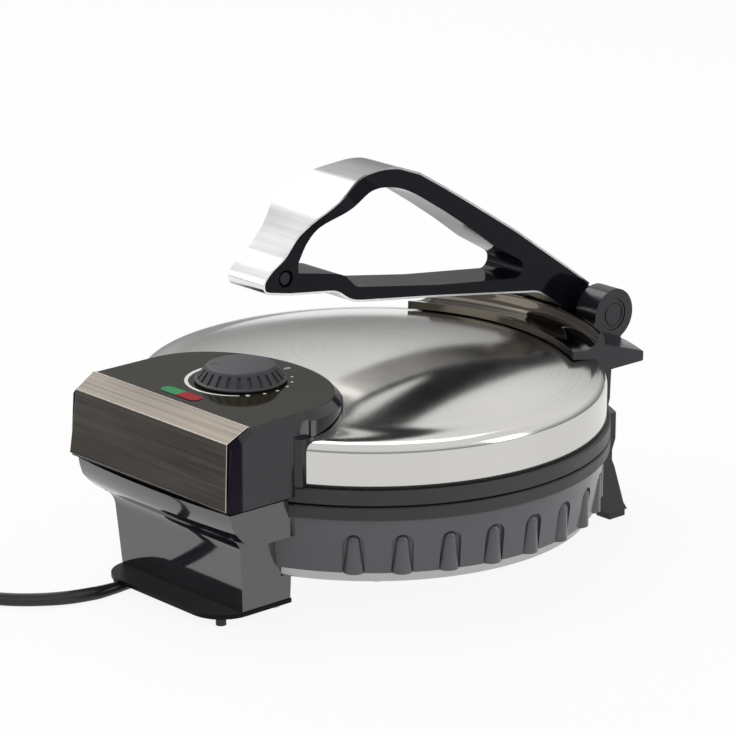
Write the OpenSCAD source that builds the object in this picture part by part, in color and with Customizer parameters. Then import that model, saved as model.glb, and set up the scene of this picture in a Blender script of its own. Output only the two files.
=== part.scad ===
// Electric roti maker: two hinged cooking plates, a domed steel lid, a folding press handle,
// a front housing with a dial, and a base ring that stands on a front foot and two rear legs.

/* [Plates] */
// Radius of both cast cooking plates
plate_r = 136.4; // [125:0.2:150]
// Thickness of the cooking plates
plate_t = 6; // [5:0.5:7]
// Width of the rim that stands below each plate
lip_w = 6; // [5.5:0.5:9]
// Height of the lower plate's rim
lower_edge_h = 7.6; // [7:0.1:9]
// Height of the upper plate's rim
upper_edge_h = 8.7; // [7:0.1:10]
// Gap between the closed plates
plate_gap = 0.8; // [0.5:0.1:1.5]
// Radius of the heating elements' ring
element_r = 88; // [70:1:95]
// Diameter of the heating element tube
element_d = 7; // [5:0.5:8]

/* [Base] */
// Height of the base ring's lower edge above the floor
ring_z = 28; // [26:0.5:34]
// Height of the base ring
ring_h = 31.9; // [30:0.1:38]
// Step from the plate's edge in to the top of the ring
ring_inset = 2.9; // [2.5:0.1:3.5]
// How much the ring narrows towards its lower edge
ring_taper = 4; // [3:0.5:4.5]
// Wall of the base ring
ring_wall = 3; // [2.5:0.1:3.4]
// Number of ribs on each side of the ring
rib_count = 9; // [5:1:9]
// Width of one rib
rib_w = 12; // [8:0.5:14]
// Height of one rib
rib_h = 23; // [18:0.5:26]
// Depth of the steel pan below the ring
pan_drop = 6.6; // [4:0.2:9]
// Sheet thickness of the pan
pan_t = 0.8; // [0.6:0.1:1.2]

/* [Lid] */
// Step from the plate's edge in to the steel lid
cover_inset = 2.4; // [2:0.1:4]
// Height of the lid's upright wall
cover_wall_h = 19.5; // [16:0.5:24]
// Radius of the rounded shoulder
cover_roll = 6.3; // [4:0.1:9]
// Rise of the lid's dome
cover_dome = 15.9; // [12:0.1:17]
// Sheet thickness of the lid
cover_t = 0.8; // [0.6:0.1:1.2]

/* [Control housing] */
// Half width of the control housing
house_hw = 69.5; // [66:0.5:76]
// How far the front trim's lower edge stands in front of the plates
house_reach = 28.3; // [26:0.1:34]
// Height of the dial panel's face above the floor
panel_z = 117; // [115:0.5:120]
// Thickness of the dial panel
panel_t = 1.8; // [1.5:0.1:2.5]
// Wall of the plastic housings
house_wall = 2.5; // [2:0.1:3]
// Width of the sloping edge round the dial panel
rim_w = 3.3; // [2.5:0.1:4]
// Sheet thickness of the front trim
trim_t = 0.9; // [0.6:0.1:1.2]
// Distance of the dial's centre behind the plates' front edge
dial_inset = 39.6; // [36:0.2:46]
// Radius of the dial knob's top
knob_r = 20; // [16:0.5:22]
// Radius of the dial knob's skirt
knob_skirt_r = 25.8; // [24:0.2:28]
// Height of the dial knob
knob_h = 9.2; // [8:0.2:14]
// Number of grip flutes round the knob
flute_count = 30; // [18:1:40]
// Diameter of the dial's shaft
shaft_d = 6; // [5:0.5:7]
// Length of the lamp window
window_l = 31; // [24:0.5:36]
// Width of the lamp window
window_w = 8.4; // [6:0.2:10]

/* [Front foot] */
// Half width of the front housing's bowl
bowl_hw = 66; // [62:0.5:68]
// Height of the bowl's flat underside
bowl_z = 48.4; // [46:0.2:50]
// Half width of the pedestal
pedestal_hw = 52.6; // [46:0.2:56]
// Step from the pedestal's side out to the foot plate's side
foot_step = 0.6; // [0.4:0.2:3]
// Height of the foot plate's top
foot_top = 6.6; // [6.2:0.2:9]
// Height of the rubber feet below the foot plate
pad_h = 4.1; // [3:0.1:4.4]

/* [Rear bracket and hinge] */
// Half width of the rear hood on the lid
hood_hw = 70; // [66:0.5:76]
// How far the hood's tail stands out behind the plates
tail_reach = 28.8; // [24:0.2:34]
// Distance of the lid hinge behind the plates' edge
hinge_reach = 14.6; // [12:0.1:17]
// Height of the lid hinge's axis
hinge_z = 79; // [77:0.5:81]
// Radius of the hinge barrels
hinge_r = 6; // [5.5:0.1:6.5]
// Diameter of the hinge pin
hinge_pin_d = 5; // [4:0.5:6]
// Half length of the hinge
hinge_hw = 34; // [28:0.5:40]
// Distance of a rear leg's middle from the centre plane
leg_x = 61.5; // [55:0.5:63]
// Width of a rear leg
leg_w = 13; // [9:0.5:16]

/* [Handle] */
// Half width of the handle's bars
handle_hw = 15; // [13:0.5:17]
// Extra half width of the front grip
grip_swell = 8.5; // [4:0.5:10]
// Thickness of the aluminium band round the handle
band_t = 1.3; // [1:0.1:1.8]
// Distance of the handle's pivot behind the plates' edge
pivot_reach = 21; // [19:0.1:23]
// Height of the handle's pivot
pivot_z = 113.3; // [112:0.1:115]
// Radius of the pivot ears
ear_r = 15.5; // [14.5:0.1:16.5]
// Distance from the centre plane to an ear's inner face
ear_in = 22; // [20:0.5:24]
// Thickness of one ear
ear_t = 16; // [12:0.5:18]
// Diameter of the handle's pivot pin
pivot_d = 8; // [6:0.5:9]

/* [Cord] */
// Width of the flat twin cord
cord_w = 7.5; // [6.5:0.1:8]
// Thickness of the flat twin cord
cord_t = 3.7; // [3:0.1:4]

/* [Fits] */
// Gap where one still piece seats on another
seat_gap = 0.1; // [0.05:0.05:0.2]
// Gap between pieces that pass each other
pass_gap = 0.3; // [0.25:0.05:0.4]
// Radial clearance of the turning pins
turn_gap = 0.06; // [0.03:0.01:0.09]
// Radial clearance of a screw in its hole
screw_gap = 0.2; // [0.15:0.05:0.3]

/* [Hidden] */
$fn = 96;
eps = 0.01;

// Heights of the stack
ring_top = ring_z + ring_h;
lower_face = ring_top + seat_gap + lower_edge_h;
upper_face = lower_face + plate_gap;
lid_low = upper_face + upper_edge_h + seat_gap;
cover_r = plate_r - cover_inset;
shoulder_z = lid_low + cover_wall_h;
dome_r = cover_r - cover_roll;
dome_z = shoulder_z + cover_roll;
dial_y = plate_r - dial_inset;
tail_r = plate_r + tail_reach;
hinge_y = plate_r + hinge_reach;
pivot_y = plate_r + pivot_reach;

// Base ring and pan
ring_r = plate_r - ring_inset;
ring_low_r = ring_r - ring_taper;
rib_first = 43.8;
rib_recess = 2;
rib_top_r = 3.7;
rib_proud = -0.6;
rib_step = 11.7;
pan_r = ring_low_r - ring_wall - pass_gap;
pan_z = ring_z - pan_drop;
pan_roll = 2.3;
pan_in = 8;
lug_angles = [45, 135, 225, 315];
lug_t = 4;
lug_w = 34;
lug_z = ring_top - 9;
lug_r = ring_low_r - ring_wall - 19;
lug_screw_at = lug_r + 7;
lug_side = 9;
screw_d = 4;
screw_head_r = 3.6;
screw_head_h = 2.4;
boss_r = 5;

// Control housing
trim_y = -(plate_r + house_reach);
trim_low_z = lid_low - 3.8;
trim_lean = 3.6;
trim_top_z = panel_z - 7.2;
bevel_run = 13.7;
trim_hw_low = house_hw - 1.7;
trim_hw_mid = house_hw - 4.3;
trim_hw_top = house_hw - 2.5;
corner_w = 3;
corner_l = 8.5;
side_end_y = -(plate_r - 29.4);
back_y = -(plate_r - 32.4);
back_b = 54;
back_step = 1;
rim_land = 0.4;
flange_w = 3.6;
flange_t = 2.2;
flange_top = dome_z + 1.5;
panel_hw = house_hw - rim_w - rim_land;
panel_b = back_b - rim_w - back_step - rim_land;
ledge_w = 2;
shell_low = trim_low_z - 1.3;
window_x = -3;
window_y = -(plate_r + 0.1);
bush_r = 5;
thermostat_r = 14;
thermostat_h = 18;
knob_lift = 0.4;
knob_band = 2.6;
shaft_top = panel_z + knob_lift + knob_h - 2.5;
shaft_in = 9;

// Front foot
bowl_top = lower_face + 2.4 - seat_gap;
bowl_front = trim_y + 1.2;
bowl_bow = 3.5;
bowl_turn_r = (bowl_hw * bowl_hw + bowl_bow * bowl_bow) / (2 * bowl_bow);
cover_plate_t = 2;
cover_plate_top = bowl_top - 1;
cover_screw_x = bowl_hw - 8;
cover_screw_y = bowl_front + 16;
pedestal_front = -(plate_r + 7.1);
pedestal_lean = 2.5;
pedestal_back = -(plate_r - 29.4);
foot_screw_x = pedestal_hw - 6;
foot_screw_y = pedestal_back - 7;
pedestal_flare = 2.7;
cove = 12;
cove_z = bowl_z - 8;
foot_front = -(plate_r + 22.6);
foot_back = pedestal_back + 0.5;
foot_hw = pedestal_hw + foot_step;
foot_corner = 20;
foot_seat = foot_top - 2.1;
foot_skin = 1.6;
foot_rim = 2.5;
front_pad_x = 45;
front_pad_y = foot_front + 9;
front_pad_r = 2.9;

// Rear bracket of the base
bracket_hw = hood_hw + 2;
bracket_in = plate_r + 0.6;
bracket_out = hinge_y - hinge_r;
bracket_top = lower_face + 0.4;
bracket_low = ring_z + 2;
tower_in = 12;
tower_out = hinge_hw;
bracket_screw_a = 24;
leg_foot_y = ring_low_r - 3;
leg_heel_y = ring_low_r + 11.6;

// Rear hood of the lid
hood_low = upper_face + 4.2;
leg_r = plate_r + 5;
tail_low = hood_low + 21.4;
tail_t = 5.6;
ridge_r = cover_r;
ridge_z = panel_z + 0.5;
hood_cover_t = 1.8;
hood_front = plate_r - 28.4;
hood_front_r = 161;
hood_end = 1;
lug_screw_a = 24;
lug_screw_z = lid_low + 9;

// Handle
knuckle_hw = ear_in - pass_gap;
knuckle_r = ear_r - 3;
cap_r = 9.4;
cap_t = 1.8;
cap_recess = 0.5;
handle_screw_y = -233.9;
handle_screw_z = 61.2;

// The whole stands with the middle of its box over the origin
shift_y = (-trim_y - (pivot_y + ear_r)) / 2;

// Shared helpers

// Puts what is drawn about the plates' centre into the part's own place
module place() {
    translate([0, shift_y, 0]) children();
}

// Points of an arc round c, from angle a to angle b
function arc(c, r, a, b, n = 8) =
    [for (i = [0:n]) c + r * [cos(a + (b - a) * i / n), sin(a + (b - a) * i / n)]];

// Points of a quarter or half ellipse round c
function oval(c, rx, ry, a, b, n = 24) =
    [for (i = [0:n]) c + [rx * cos(a + (b - a) * i / n), ry * sin(a + (b - a) * i / n)]];

// Extrudes an outline of Y and Z along X over a width, with its middle at x
module side_cut(outline, width, x = 0) {
    translate([x, 0, 0])
        rotate([90, 0, 90])
            linear_extrude(height = width, center = true) polygon(outline);
}

// Turns an outline of radius and Z about the plates' centre
module turned(outline) {
    rotate_extrude($fn = 180) polygon(outline);
}

// Height of the lid's dome at a radius
dome_turn_r = (dome_r * dome_r + cover_dome * cover_dome) / (2 * cover_dome);
function dome_at(r) = dome_z + cover_dome - dome_turn_r + sqrt(dome_turn_r * dome_turn_r - r * r);

// Outline of the lid, moved outwards by o, from its lower edge to the middle
function lid_line(o, low) = concat(
    [[0, low], [cover_r + o, low]],
    arc([dome_r, shoulder_z], cover_roll + o, 0, 72, 6),
    [for (i = [0:14]) let (r = (dome_r - 3) * (1 - i / 14)) [r, dome_at(r) + o]]);

// A solid as large as the lid and the upper plate, with a gap round it
module lid_space(gap) {
    turned(lid_line(gap, lid_low - gap));
    translate([0, 0, upper_face - gap]) cylinder(r = plate_r + gap, h = upper_edge_h + 2 * gap, $fn = 180);
}

// A solid as large as the ring, the pan and the lower plate, with a gap round it
module base_space(gap) {
    translate([0, 0, ring_z - gap])
        cylinder(r1 = ring_low_r + gap, r2 = ring_r + gap, h = ring_h + gap, $fn = 180);
    translate([0, 0, ring_top - gap])
        cylinder(r = plate_r + gap, h = lower_edge_h + 2 * gap + 3, $fn = 180);
    translate([0, 0, pan_z - gap]) cylinder(r = pan_r + gap, h = pan_drop + 2 * gap, $fn = 180);
}

// A screw along +Z with its head at the origin's lower side
module screw(length, d = screw_d) {
    translate([0, 0, -screw_head_h]) cylinder(r = screw_head_r, h = screw_head_h, $fn = 32);
    cylinder(d = d, h = length, $fn = 32);
}

// One cooking plate with its face up at z = 0: rim, element seat and screw bosses below
module plate_body(edge_h, boss_angles, boss_at, boss_h) {
    groove_z = -plate_t - element_d / 2;
    edge = 0.8;
    difference() {
        union() {
            turned([[0, 0], [plate_r - edge, 0], [plate_r, -edge], [plate_r, -edge_h + edge],
                [plate_r - edge, -edge_h], [plate_r - lip_w, -edge_h], [plate_r - lip_w, -plate_t],
                [0, -plate_t]]);
            turned([[element_r - 7, -plate_t + eps], [element_r + 7, -plate_t + eps],
                [element_r + 5, groove_z], [element_r - 5, groove_z]]);
            for (a = boss_angles)
                rotate([0, 0, a])
                    translate([boss_at, -lug_side, -boss_h]) cylinder(r = boss_r, h = boss_h - 1, $fn = 48);
        }
        rotate_extrude($fn = 180)
            translate([element_r, groove_z]) circle(d = element_d + 2 * seat_gap, $fn = 48);
        for (a = boss_angles)
            rotate([0, 0, a])
                translate([boss_at, -lug_side, -boss_h - 1])
                    cylinder(d = screw_d + 2 * turn_gap, h = boss_h - 1.5, $fn = 32);
    }
}

// A tubular heating element with two cold ends, below a plate whose face is at z = 0
module element_body() {
    gap_angle = 14;
    end_h = 9;
    translate([0, 0, -plate_t - element_d / 2]) {
        rotate([0, 0, -90 + gap_angle])
            rotate_extrude(angle = 360 - 2 * gap_angle, $fn = 180)
                translate([element_r, 0]) circle(d = element_d, $fn = 40);
        for (s = [-1, 1])
            rotate([0, 0, -90 + s * gap_angle])
                translate([element_r, 0, -end_h]) {
                    cylinder(d = element_d, h = end_h, $fn = 40);
                    translate([0, 0, -6]) cylinder(d = 3, h = 7, $fn = 24);
                }
    }
}

// Base ring: tapered wall with round-topped ribs, inner lugs and posts
module base_ring() {
    post_r = 5;
    color("dimgray") place() difference() {
        union() {
            difference() {
                union() {
                    difference() {
                        translate([0, 0, ring_z])
                            cylinder(r1 = ring_low_r, r2 = ring_r, h = ring_h, $fn = 180);
                        at_ribs() rib_slot();
                    }
                    intersection() {
                        translate([0, 0, ring_z]) cylinder(r = ring_r, h = ring_h, $fn = 180);
                        at_ribs() rib();
                    }
                }
                translate([0, 0, ring_z - eps])
                    cylinder(r1 = ring_low_r - ring_wall, r2 = ring_r - ring_wall, h = ring_h + 2 * eps,
                        $fn = 180);
            }
            for (a = lug_angles) rotate([0, 0, a]) {
                intersection() {
                    translate([lug_r, -lug_w / 2, lug_z - lug_t]) cube([30, lug_w, lug_t]);
                    cylinder(r = ring_low_r - 0.5, h = 200, $fn = 180);
                }
                translate([lug_screw_at, lug_side, pan_z + pan_t + seat_gap])
                    cylinder(r = post_r, h = lug_z - pan_z - pan_t - seat_gap, $fn = 40);
            }
        }
        for (a = lug_angles) rotate([0, 0, a]) {
            translate([lug_screw_at, -lug_side, lug_z - lug_t - 1])
                cylinder(d = screw_d + 2 * screw_gap, h = lug_t + 2, $fn = 32);
            translate([lug_screw_at, lug_side, pan_z])
                cylinder(d = screw_d + 2 * turn_gap, h = 14, $fn = 32);
        }
        front_pocket();
        rear_screw_holes(screw_d / 2 + turn_gap);
    }
}

// Places something at each rib on both sides of the ring
module at_ribs() {
    for (s = [-1, 1], k = [0:rib_count - 1])
        rotate([0, 0, s * (rib_first + rib_step * k)]) children();
}

// Shallow slot with a round top, parallel to the leaning wall, in which a rib stands
module rib_slot() {
    translate([0, -ring_low_r, ring_z])
        rotate([atan(ring_taper / ring_h), 0, 0])
            translate([0, rib_recess, -1]) rotate([90, 0, 0])
                linear_extrude(height = 8) {
                    translate([-rib_w / 2, 0]) square([rib_w, rib_h + 1 - rib_w / 2]);
                    translate([0, rib_h + 1 - rib_w / 2]) circle(d = rib_w, $fn = 48);
                }
}

// One rib: leaning cone that fills its slot at the bottom, with a round and narrower top
module rib() {
    low_r = rib_w / 2;
    high = rib_h - rib_top_r - 0.8;
    low = rib_proud - low_r;
    lean = atan((low_r - rib_top_r) / high);
    translate([0, -ring_r - low, ring_z]) rotate([lean, 0, 0]) {
        translate([0, 0, -1])
            cylinder(r1 = low_r + tan(lean), r2 = rib_top_r, h = high / cos(lean) + 1, $fn = 32);
        translate([0, 0, high / cos(lean)]) sphere(r = rib_top_r, $fn = 32);
    }
}

// Wire opening through the front of the ring, behind the front housing
module front_pocket() {
    translate([-15, -ring_r - 5, ring_z + 8]) cube([30, 14, 12]);
}

// Screw holes that lie square to the ring, for the rear bracket
module rear_screw_holes(r) {
    for (s = [-1, 1])
        rotate([0, 0, s * bracket_screw_a])
            translate([0, ring_r - 8, (ring_z + ring_top) / 2 + 4])
                rotate([-90, 0, 0]) cylinder(r = r, h = 24, $fn = 32);
}

// Steel pan that closes the ring from below
module base_pan() {
    wall_h = pan_drop + pan_in;
    outer = concat([[0, 0], [pan_r - pan_roll, 0]], arc([pan_r - pan_roll, pan_roll], pan_roll, -90, 0, 6),
        [[pan_r, wall_h], [pan_r - pan_t, wall_h]],
        arc([pan_r - pan_roll, pan_roll], pan_roll - pan_t, 0, -90, 6), [[0, pan_t]]);
    color("silver") place() translate([0, 0, pan_z]) difference() {
        turned(outer);
        for (a = lug_angles)
            rotate([0, 0, a])
                translate([lug_screw_at, lug_side, -1])
                    cylinder(d = screw_d + 2 * screw_gap, h = 4, $fn = 32);
    }
}

module lower_plate() {
    color("#3b373c") place() translate([0, 0, lower_face])
        plate_body(lower_edge_h, lug_angles, lug_screw_at, lower_face - lug_z - seat_gap);
}

module lower_heating_element() {
    color("gray") place() translate([0, 0, lower_face]) element_body();
}

// Thermal fuse in its clip, below the middle of the lower plate
module thermal_fuse() {
    fuse_d = 4;
    clip = [22, 9, 1];
    color("lightgray") place() translate([0, -50, lower_face - plate_t - seat_gap]) {
        translate([-clip[0] / 2, -clip[1] / 2, -clip[2]]) cube(clip);
        translate([-14, 0, -clip[2] - fuse_d / 2 + 0.5])
            rotate([0, 90, 0]) cylinder(d = fuse_d, h = 28, $fn = 32);
    }
}

module plate_screws() {
    color("silver") place()
        for (a = lug_angles)
            rotate([0, 0, a])
                translate([lug_screw_at, -lug_side, lug_z - lug_t - seat_gap]) screw(lug_t + 6);
}

module pan_screws() {
    color("silver") place()
        for (a = lug_angles)
            rotate([0, 0, a])
                translate([lug_screw_at, lug_side, pan_z - seat_gap]) screw(11);
}

// Front housing: bowed bowl that hangs below the control housing, and the pedestal under it

// Bowl's front line at the middle, from its top down to the flat underside
bowl_line = [[bowl_front, bowl_top], [bowl_front + 0.6, bowl_top - 4], [bowl_front + 2.6, bowl_top - 10],
    [bowl_front + 6.4, bowl_z + 7.2], [bowl_front + 11, bowl_z + 2.8], [bowl_front + 17, bowl_z + 0.5],
    [bowl_front + 21, bowl_z]];

// Turns the bowl's line about an upright axis far behind it, which bows the front
module bowl_form(gap, top) {
    reach = bowl_turn_r + bowl_front;
    back_r = reach + 95;
    line = [for (i = [1:len(bowl_line) - 1]) [reach - bowl_line[i][0] - gap, bowl_line[i][1] + gap]];
    translate([0, reach, 0])
        rotate([0, 0, -90 - 9])
            rotate_extrude(angle = 18, $fn = 720)
                polygon(concat([[reach - bowl_front - gap, top]], line,
                    [[back_r, bowl_z + gap], [back_r, top]]));
}

// Upright pedestal with its cove up to the bowl
module pedestal_form() {
    top = bowl_z + 4;
    low = foot_top + seat_gap;
    turn = 65;
    wide = pedestal_hw + pedestal_flare;
    intersection() {
        side_cut(concat(
            [[pedestal_back, low], [pedestal_front + pedestal_lean, low]],
            [for (i = [0:6]) [pedestal_front, cove_z] + cove * [cos(i * turn / 6) - 1, sin(i * turn / 6)]],
            [[pedestal_front - cove * (1 - cos(turn)), top], [pedestal_back, top]]), 2 * wide + 2);
        translate([0, pedestal_back + 1, 0]) rotate([90, 0, 0])
            linear_extrude(height = pedestal_back - pedestal_front + cove + 2)
                polygon([[-pedestal_hw, low - 1], [pedestal_hw, low - 1],
                    [wide, top + 1], [-wide, top + 1]]);
    }
}

// Room inside the pedestal, open below
module pedestal_room() {
    front = pedestal_front + house_wall;
    back = pedestal_back - house_wall;
    side_cut([[back, 0], [front + pedestal_lean, 0], [front, cove_z], [front, bowl_z + 5],
        [back, bowl_z + 5]], 2 * (pedestal_hw - house_wall));
}

module front_housing() {
    post = 9;
    post_h = cover_plate_top - cover_plate_t - seat_gap - bowl_z - 1;
    color("#1d1b20") place() difference() {
        union() {
            difference() {
                union() {
                    intersection() {
                        bowl_form(0, bowl_top);
                        translate([-bowl_hw, trim_y, 0]) cube([2 * bowl_hw, 70, bowl_top]);
                    }
                    pedestal_form();
                }
                intersection() {
                    bowl_form(house_wall, bowl_top + 1);
                    translate([-bowl_hw + house_wall, trim_y, 0])
                        cube([2 * (bowl_hw - house_wall), 70, bowl_top + 1]);
                }
                pedestal_room();
            }
            for (s = [-1, 1])
                translate([s * foot_screw_x, foot_screw_y, foot_top + seat_gap])
                    cylinder(d = post, h = 14, $fn = 40);
            intersection() {
                for (s = [-1, 1])
                    translate([s * cover_screw_x, cover_screw_y, bowl_z + 1])
                        cylinder(d = post, h = post_h, $fn = 40);
                bowl_form(1, bowl_top);
            }
        }
        base_space(seat_gap);
        for (s = [-1, 1]) {
            translate([s * foot_screw_x, foot_screw_y, 0])
                cylinder(d = screw_d + 2 * turn_gap, h = 18, $fn = 32);
            translate([s * cover_screw_x, cover_screw_y, bowl_top - 14])
                cylinder(d = screw_d + 2 * turn_gap, h = 15, $fn = 32);
        }
    }
}

// Cover plate that closes the front housing under the raised lid
module housing_cover() {
    inset = house_wall + seat_gap;
    color("#242226") place() difference() {
        intersection() {
            bowl_form(inset, bowl_top + 1);
            translate([-bowl_hw + inset, trim_y, cover_plate_top - cover_plate_t])
                cube([2 * (bowl_hw - inset), 70, cover_plate_t]);
        }
        base_space(seat_gap);
        for (s = [-1, 1])
            translate([s * cover_screw_x, cover_screw_y, cover_plate_top - cover_plate_t - 1])
                cylinder(d = screw_d + 2 * screw_gap, h = cover_plate_t + 2, $fn = 32);
    }
}

// Terminal block that stands on the foot plate's two posts, inside the pedestal
module terminal_block() {
    block = [36, 14, 12];
    color("ivory") place() translate([-block[0] / 2, pedestal_front + 15.5, foot_top + seat_gap])
    difference() {
        cube(block);
        for (k = [0:2])
            translate([6 + 12 * k, block[1] / 2, block[2] - 7]) cylinder(d = 4, h = 8, $fn = 24);
    }
}

// Foot plate: shallow tray with round front corners, open below, with a notch for the cord
module foot_outline(gap) {
    r = foot_corner - gap;
    hw = foot_hw - gap;
    side = foot_hw - foot_corner;
    polygon(concat([[hw, foot_back - gap], [-hw, foot_back - gap]],
        arc([-side, foot_front + foot_corner], r, 180, 270, 10),
        arc([side, foot_front + foot_corner], r, 270, 360, 10)));
}

module foot_plate() {
    color("#2a2523") place() difference() {
        union() {
            difference() {
                translate([0, 0, pad_h]) linear_extrude(height = foot_top - pad_h) foot_outline(0);
                translate([0, 0, pad_h - 1])
                    linear_extrude(height = foot_top - foot_skin - pad_h + 1) foot_outline(foot_rim);
            }
            for (s = [-1, 1]) {
                translate([s * front_pad_x, front_pad_y, pad_h])
                    cylinder(r = front_pad_r + 0.6, h = foot_top - pad_h - 1, $fn = 40);
                translate([s * foot_screw_x, foot_screw_y, foot_seat])
                    cylinder(r = 5.5, h = foot_top - foot_seat - 0.4, $fn = 40);
            }
        }
        translate([cord_x - cord_w / 2 - 1, foot_front - 1, 0])
            cube([cord_w + 2, 8, foot_top - foot_skin]);
        for (s = [-1, 1])
            translate([s * foot_screw_x, foot_screw_y, 0])
                cylinder(d = screw_d + 2 * screw_gap, h = 20, $fn = 32);
    }
}

module foot_screws() {
    color("silver") place() {
        for (s = [-1, 1]) {
            translate([s * foot_screw_x, foot_screw_y, foot_seat - seat_gap])
                screw(11);
            translate([s * cover_screw_x, cover_screw_y, cover_plate_top + seat_gap])
                mirror([0, 0, 1]) screw(9);
        }
    }
}

module front_feet() {
    color("#151515") place()
        for (s = [-1, 1])
            translate([s * front_pad_x, front_pad_y, 0])
                cylinder(r = front_pad_r, h = pad_h - seat_gap / 2, $fn = 40);
}

// Rear bracket: curved wall behind the ring, two splayed legs and the hinge towers
module rear_bracket() {
    knuckle = [for (s = [-1, 1]) s * (tower_in + tower_out) / 2];
    color("#35333a") place() difference() {
        union() {
            intersection() {
                turned([[ring_r + seat_gap, bracket_low], [ring_r + 4, bracket_low],
                    [bracket_out, bracket_low + 22], [bracket_out, bracket_top], [bracket_in, bracket_top],
                    [bracket_in, ring_top - seat_gap], [ring_r + seat_gap, ring_top - seat_gap]]);
                translate([-bracket_hw, 60, 0]) cube([2 * bracket_hw, 110, 100]);
            }
            for (s = [-1, 1]) rear_leg(s * leg_x);
            for (x = knuckle) {
                side_cut([[bracket_in + 2, bracket_top - 12], [bracket_in + 2, bracket_top],
                    [bracket_out + seat_gap, bracket_top + 3], [hinge_y - hinge_r, hinge_z],
                    [hinge_y + hinge_r, hinge_z], [bracket_out + 2, bracket_low + 22]],
                    tower_out - tower_in, x);
                translate([x, hinge_y, hinge_z]) rotate([0, 90, 0])
                    cylinder(r = hinge_r, h = tower_out - tower_in, center = true, $fn = 64);
            }
        }
        translate([0, hinge_y, hinge_z]) rotate([0, 90, 0])
            cylinder(d = hinge_pin_d + seat_gap, h = 4 * hinge_hw, center = true, $fn = 48);
        rear_screw_holes(screw_d / 2 + screw_gap);
        for (s = [-1, 1])
            rotate([0, 0, s * bracket_screw_a])
                translate([0, ring_r + 5, (ring_z + ring_top) / 2 + 4])
                    rotate([-90, 0, 0]) cylinder(r = screw_head_r + 0.5, h = 20, $fn = 40);
    }
}

// One rear leg: flat, splayed to the rear, with a slanted foot
module rear_leg(x) {
    top = bracket_low + 15;
    side_cut([[leg_foot_y, pad_h], [ring_low_r - 10.7, 7.5], [ring_low_r - 9.3, ring_z - 1],
        [ring_low_r - 6, top], [ring_low_r - 2, top], [ring_low_r - 2.1, ring_z + 9.6],
        [ring_low_r + 0.2, ring_z + 4.8], [ring_low_r + 8.4, 8.6], [leg_heel_y, pad_h]], leg_w, x);
}

module rear_feet() {
    color("#151515") place()
        for (s = [-1, 1])
            translate([s * leg_x - leg_w / 2 + 1, leg_foot_y + 1, 0])
                cube([leg_w - 2, leg_heel_y - leg_foot_y - 2, pad_h - seat_gap / 2]);
}

module bracket_screws() {
    color("silver") place()
        for (s = [-1, 1])
            rotate([0, 0, s * bracket_screw_a])
                translate([0, ring_r + 5 + seat_gap, (ring_z + ring_top) / 2 + 4])
                    rotate([90, 0, 0]) screw(11);
}

module lid_hinge_pin() {
    color("silver") place() translate([0, hinge_y, hinge_z]) rotate([0, 90, 0])
        cylinder(d = hinge_pin_d, h = 2 * hinge_hw + 2, center = true, $fn = 48);
}

// Lid: steel cover, upper plate and what they carry

// Inner line of the cover, from the middle out to its lower edge
function lid_inside() =
    let (line = lid_line(-cover_t, lid_low), n = len(line))
    [for (i = [n - 1:-1:1]) line[i]];

module lid_cover() {
    line = lid_line(0, lid_low);
    color("silver") place() difference() {
        turned(concat([for (i = [1:len(line) - 1]) line[i]], lid_inside()));
        translate([0, -dial_y, dome_z - 4]) cylinder(r = bush_r + 1.5, h = cover_dome, $fn = 64);
        lid_screw_holes(screw_d / 2 + screw_gap);
    }
}

// Places something at each of the four screws that hold the lid together
module at_lid_screws(r, sides = [lug_screw_a, -lug_screw_a, 180 + lug_screw_a, 180 - lug_screw_a]) {
    for (a = sides)
        rotate([0, 0, a]) translate([0, r, lug_screw_z]) rotate([-90, 0, 0]) children();
}

module lid_screw_holes(r) {
    at_lid_screws(cover_r - 12) cylinder(r = r, h = 40, $fn = 32);
}

module upper_plate() {
    block_w = 14;
    block_l = 10;
    block_rise = 6;
    color("#3b373c") place() difference() {
        union() {
            translate([0, 0, upper_face]) mirror([0, 0, 1]) plate_body(upper_edge_h, [], lug_r, 10);
            intersection() {
                at_lid_screws(cover_r - cover_t - seat_gap - block_l)
                    translate([-block_w / 2, -block_rise, 0])
                        cube([block_w, lug_screw_z - upper_face - 1 + block_rise, block_l]);
                translate([0, 0, upper_face + 1])
                    cylinder(r = cover_r - cover_t - seat_gap, h = 60, $fn = 180);
            }
        }
        lid_screw_holes(screw_d / 2 + turn_gap);
    }
}

module upper_heating_element() {
    color("gray") place() translate([0, 0, upper_face]) mirror([0, 0, 1]) element_body();
}

module lid_screws() {
    rear = [lug_screw_a, -lug_screw_a];
    front = [180 + lug_screw_a, 180 - lug_screw_a];
    color("silver") place() {
        at_lid_screws(leg_r - screw_head_h, rear) mirror([0, 0, 1]) screw(10);
        at_lid_screws(shell_back_r + seat_gap, front) mirror([0, 0, 1]) screw(10);
    }
}

// Control housing on the lid's front

// Outline from above: straight sides, round front corners, square back
module house_outline(gap) {
    hw = house_hw - gap;
    rx = corner_w;
    ry = corner_l;
    front = trim_y + trim_t + 0.1 + gap;
    polygon(concat([[hw, side_end_y + 40], [-hw, side_end_y + 40]],
        oval([-hw + rx, front + ry], rx, ry, 180, 270, 8),
        oval([hw - rx, front + ry], rx, ry, 270, 360, 8)));
}

// Side line, moved inwards by gap: leaning front, bevel and flat top
function house_side(gap, low) =
    let (face = trim_y + trim_t + 0.1 + gap, roof = panel_z - gap)
    [[face, low], [face, trim_low_z + gap / 2], [face + trim_lean, trim_top_z - gap / 2],
        [face + trim_lean + bevel_run, roof], [back_y + back_b + 10, roof], [back_y + back_b + 10, low]];

// Oval outline of the housing's back, behind the straight sides
module back_outline(a, b) {
    polygon(oval([0, 0], a, b, 0, 360, 90));
}

// Level ring of points on an oval at height z
function oval_ring(a, b, z) = [for (i = [0:89]) [a * cos(4 * i), b * sin(4 * i), z]];

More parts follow.
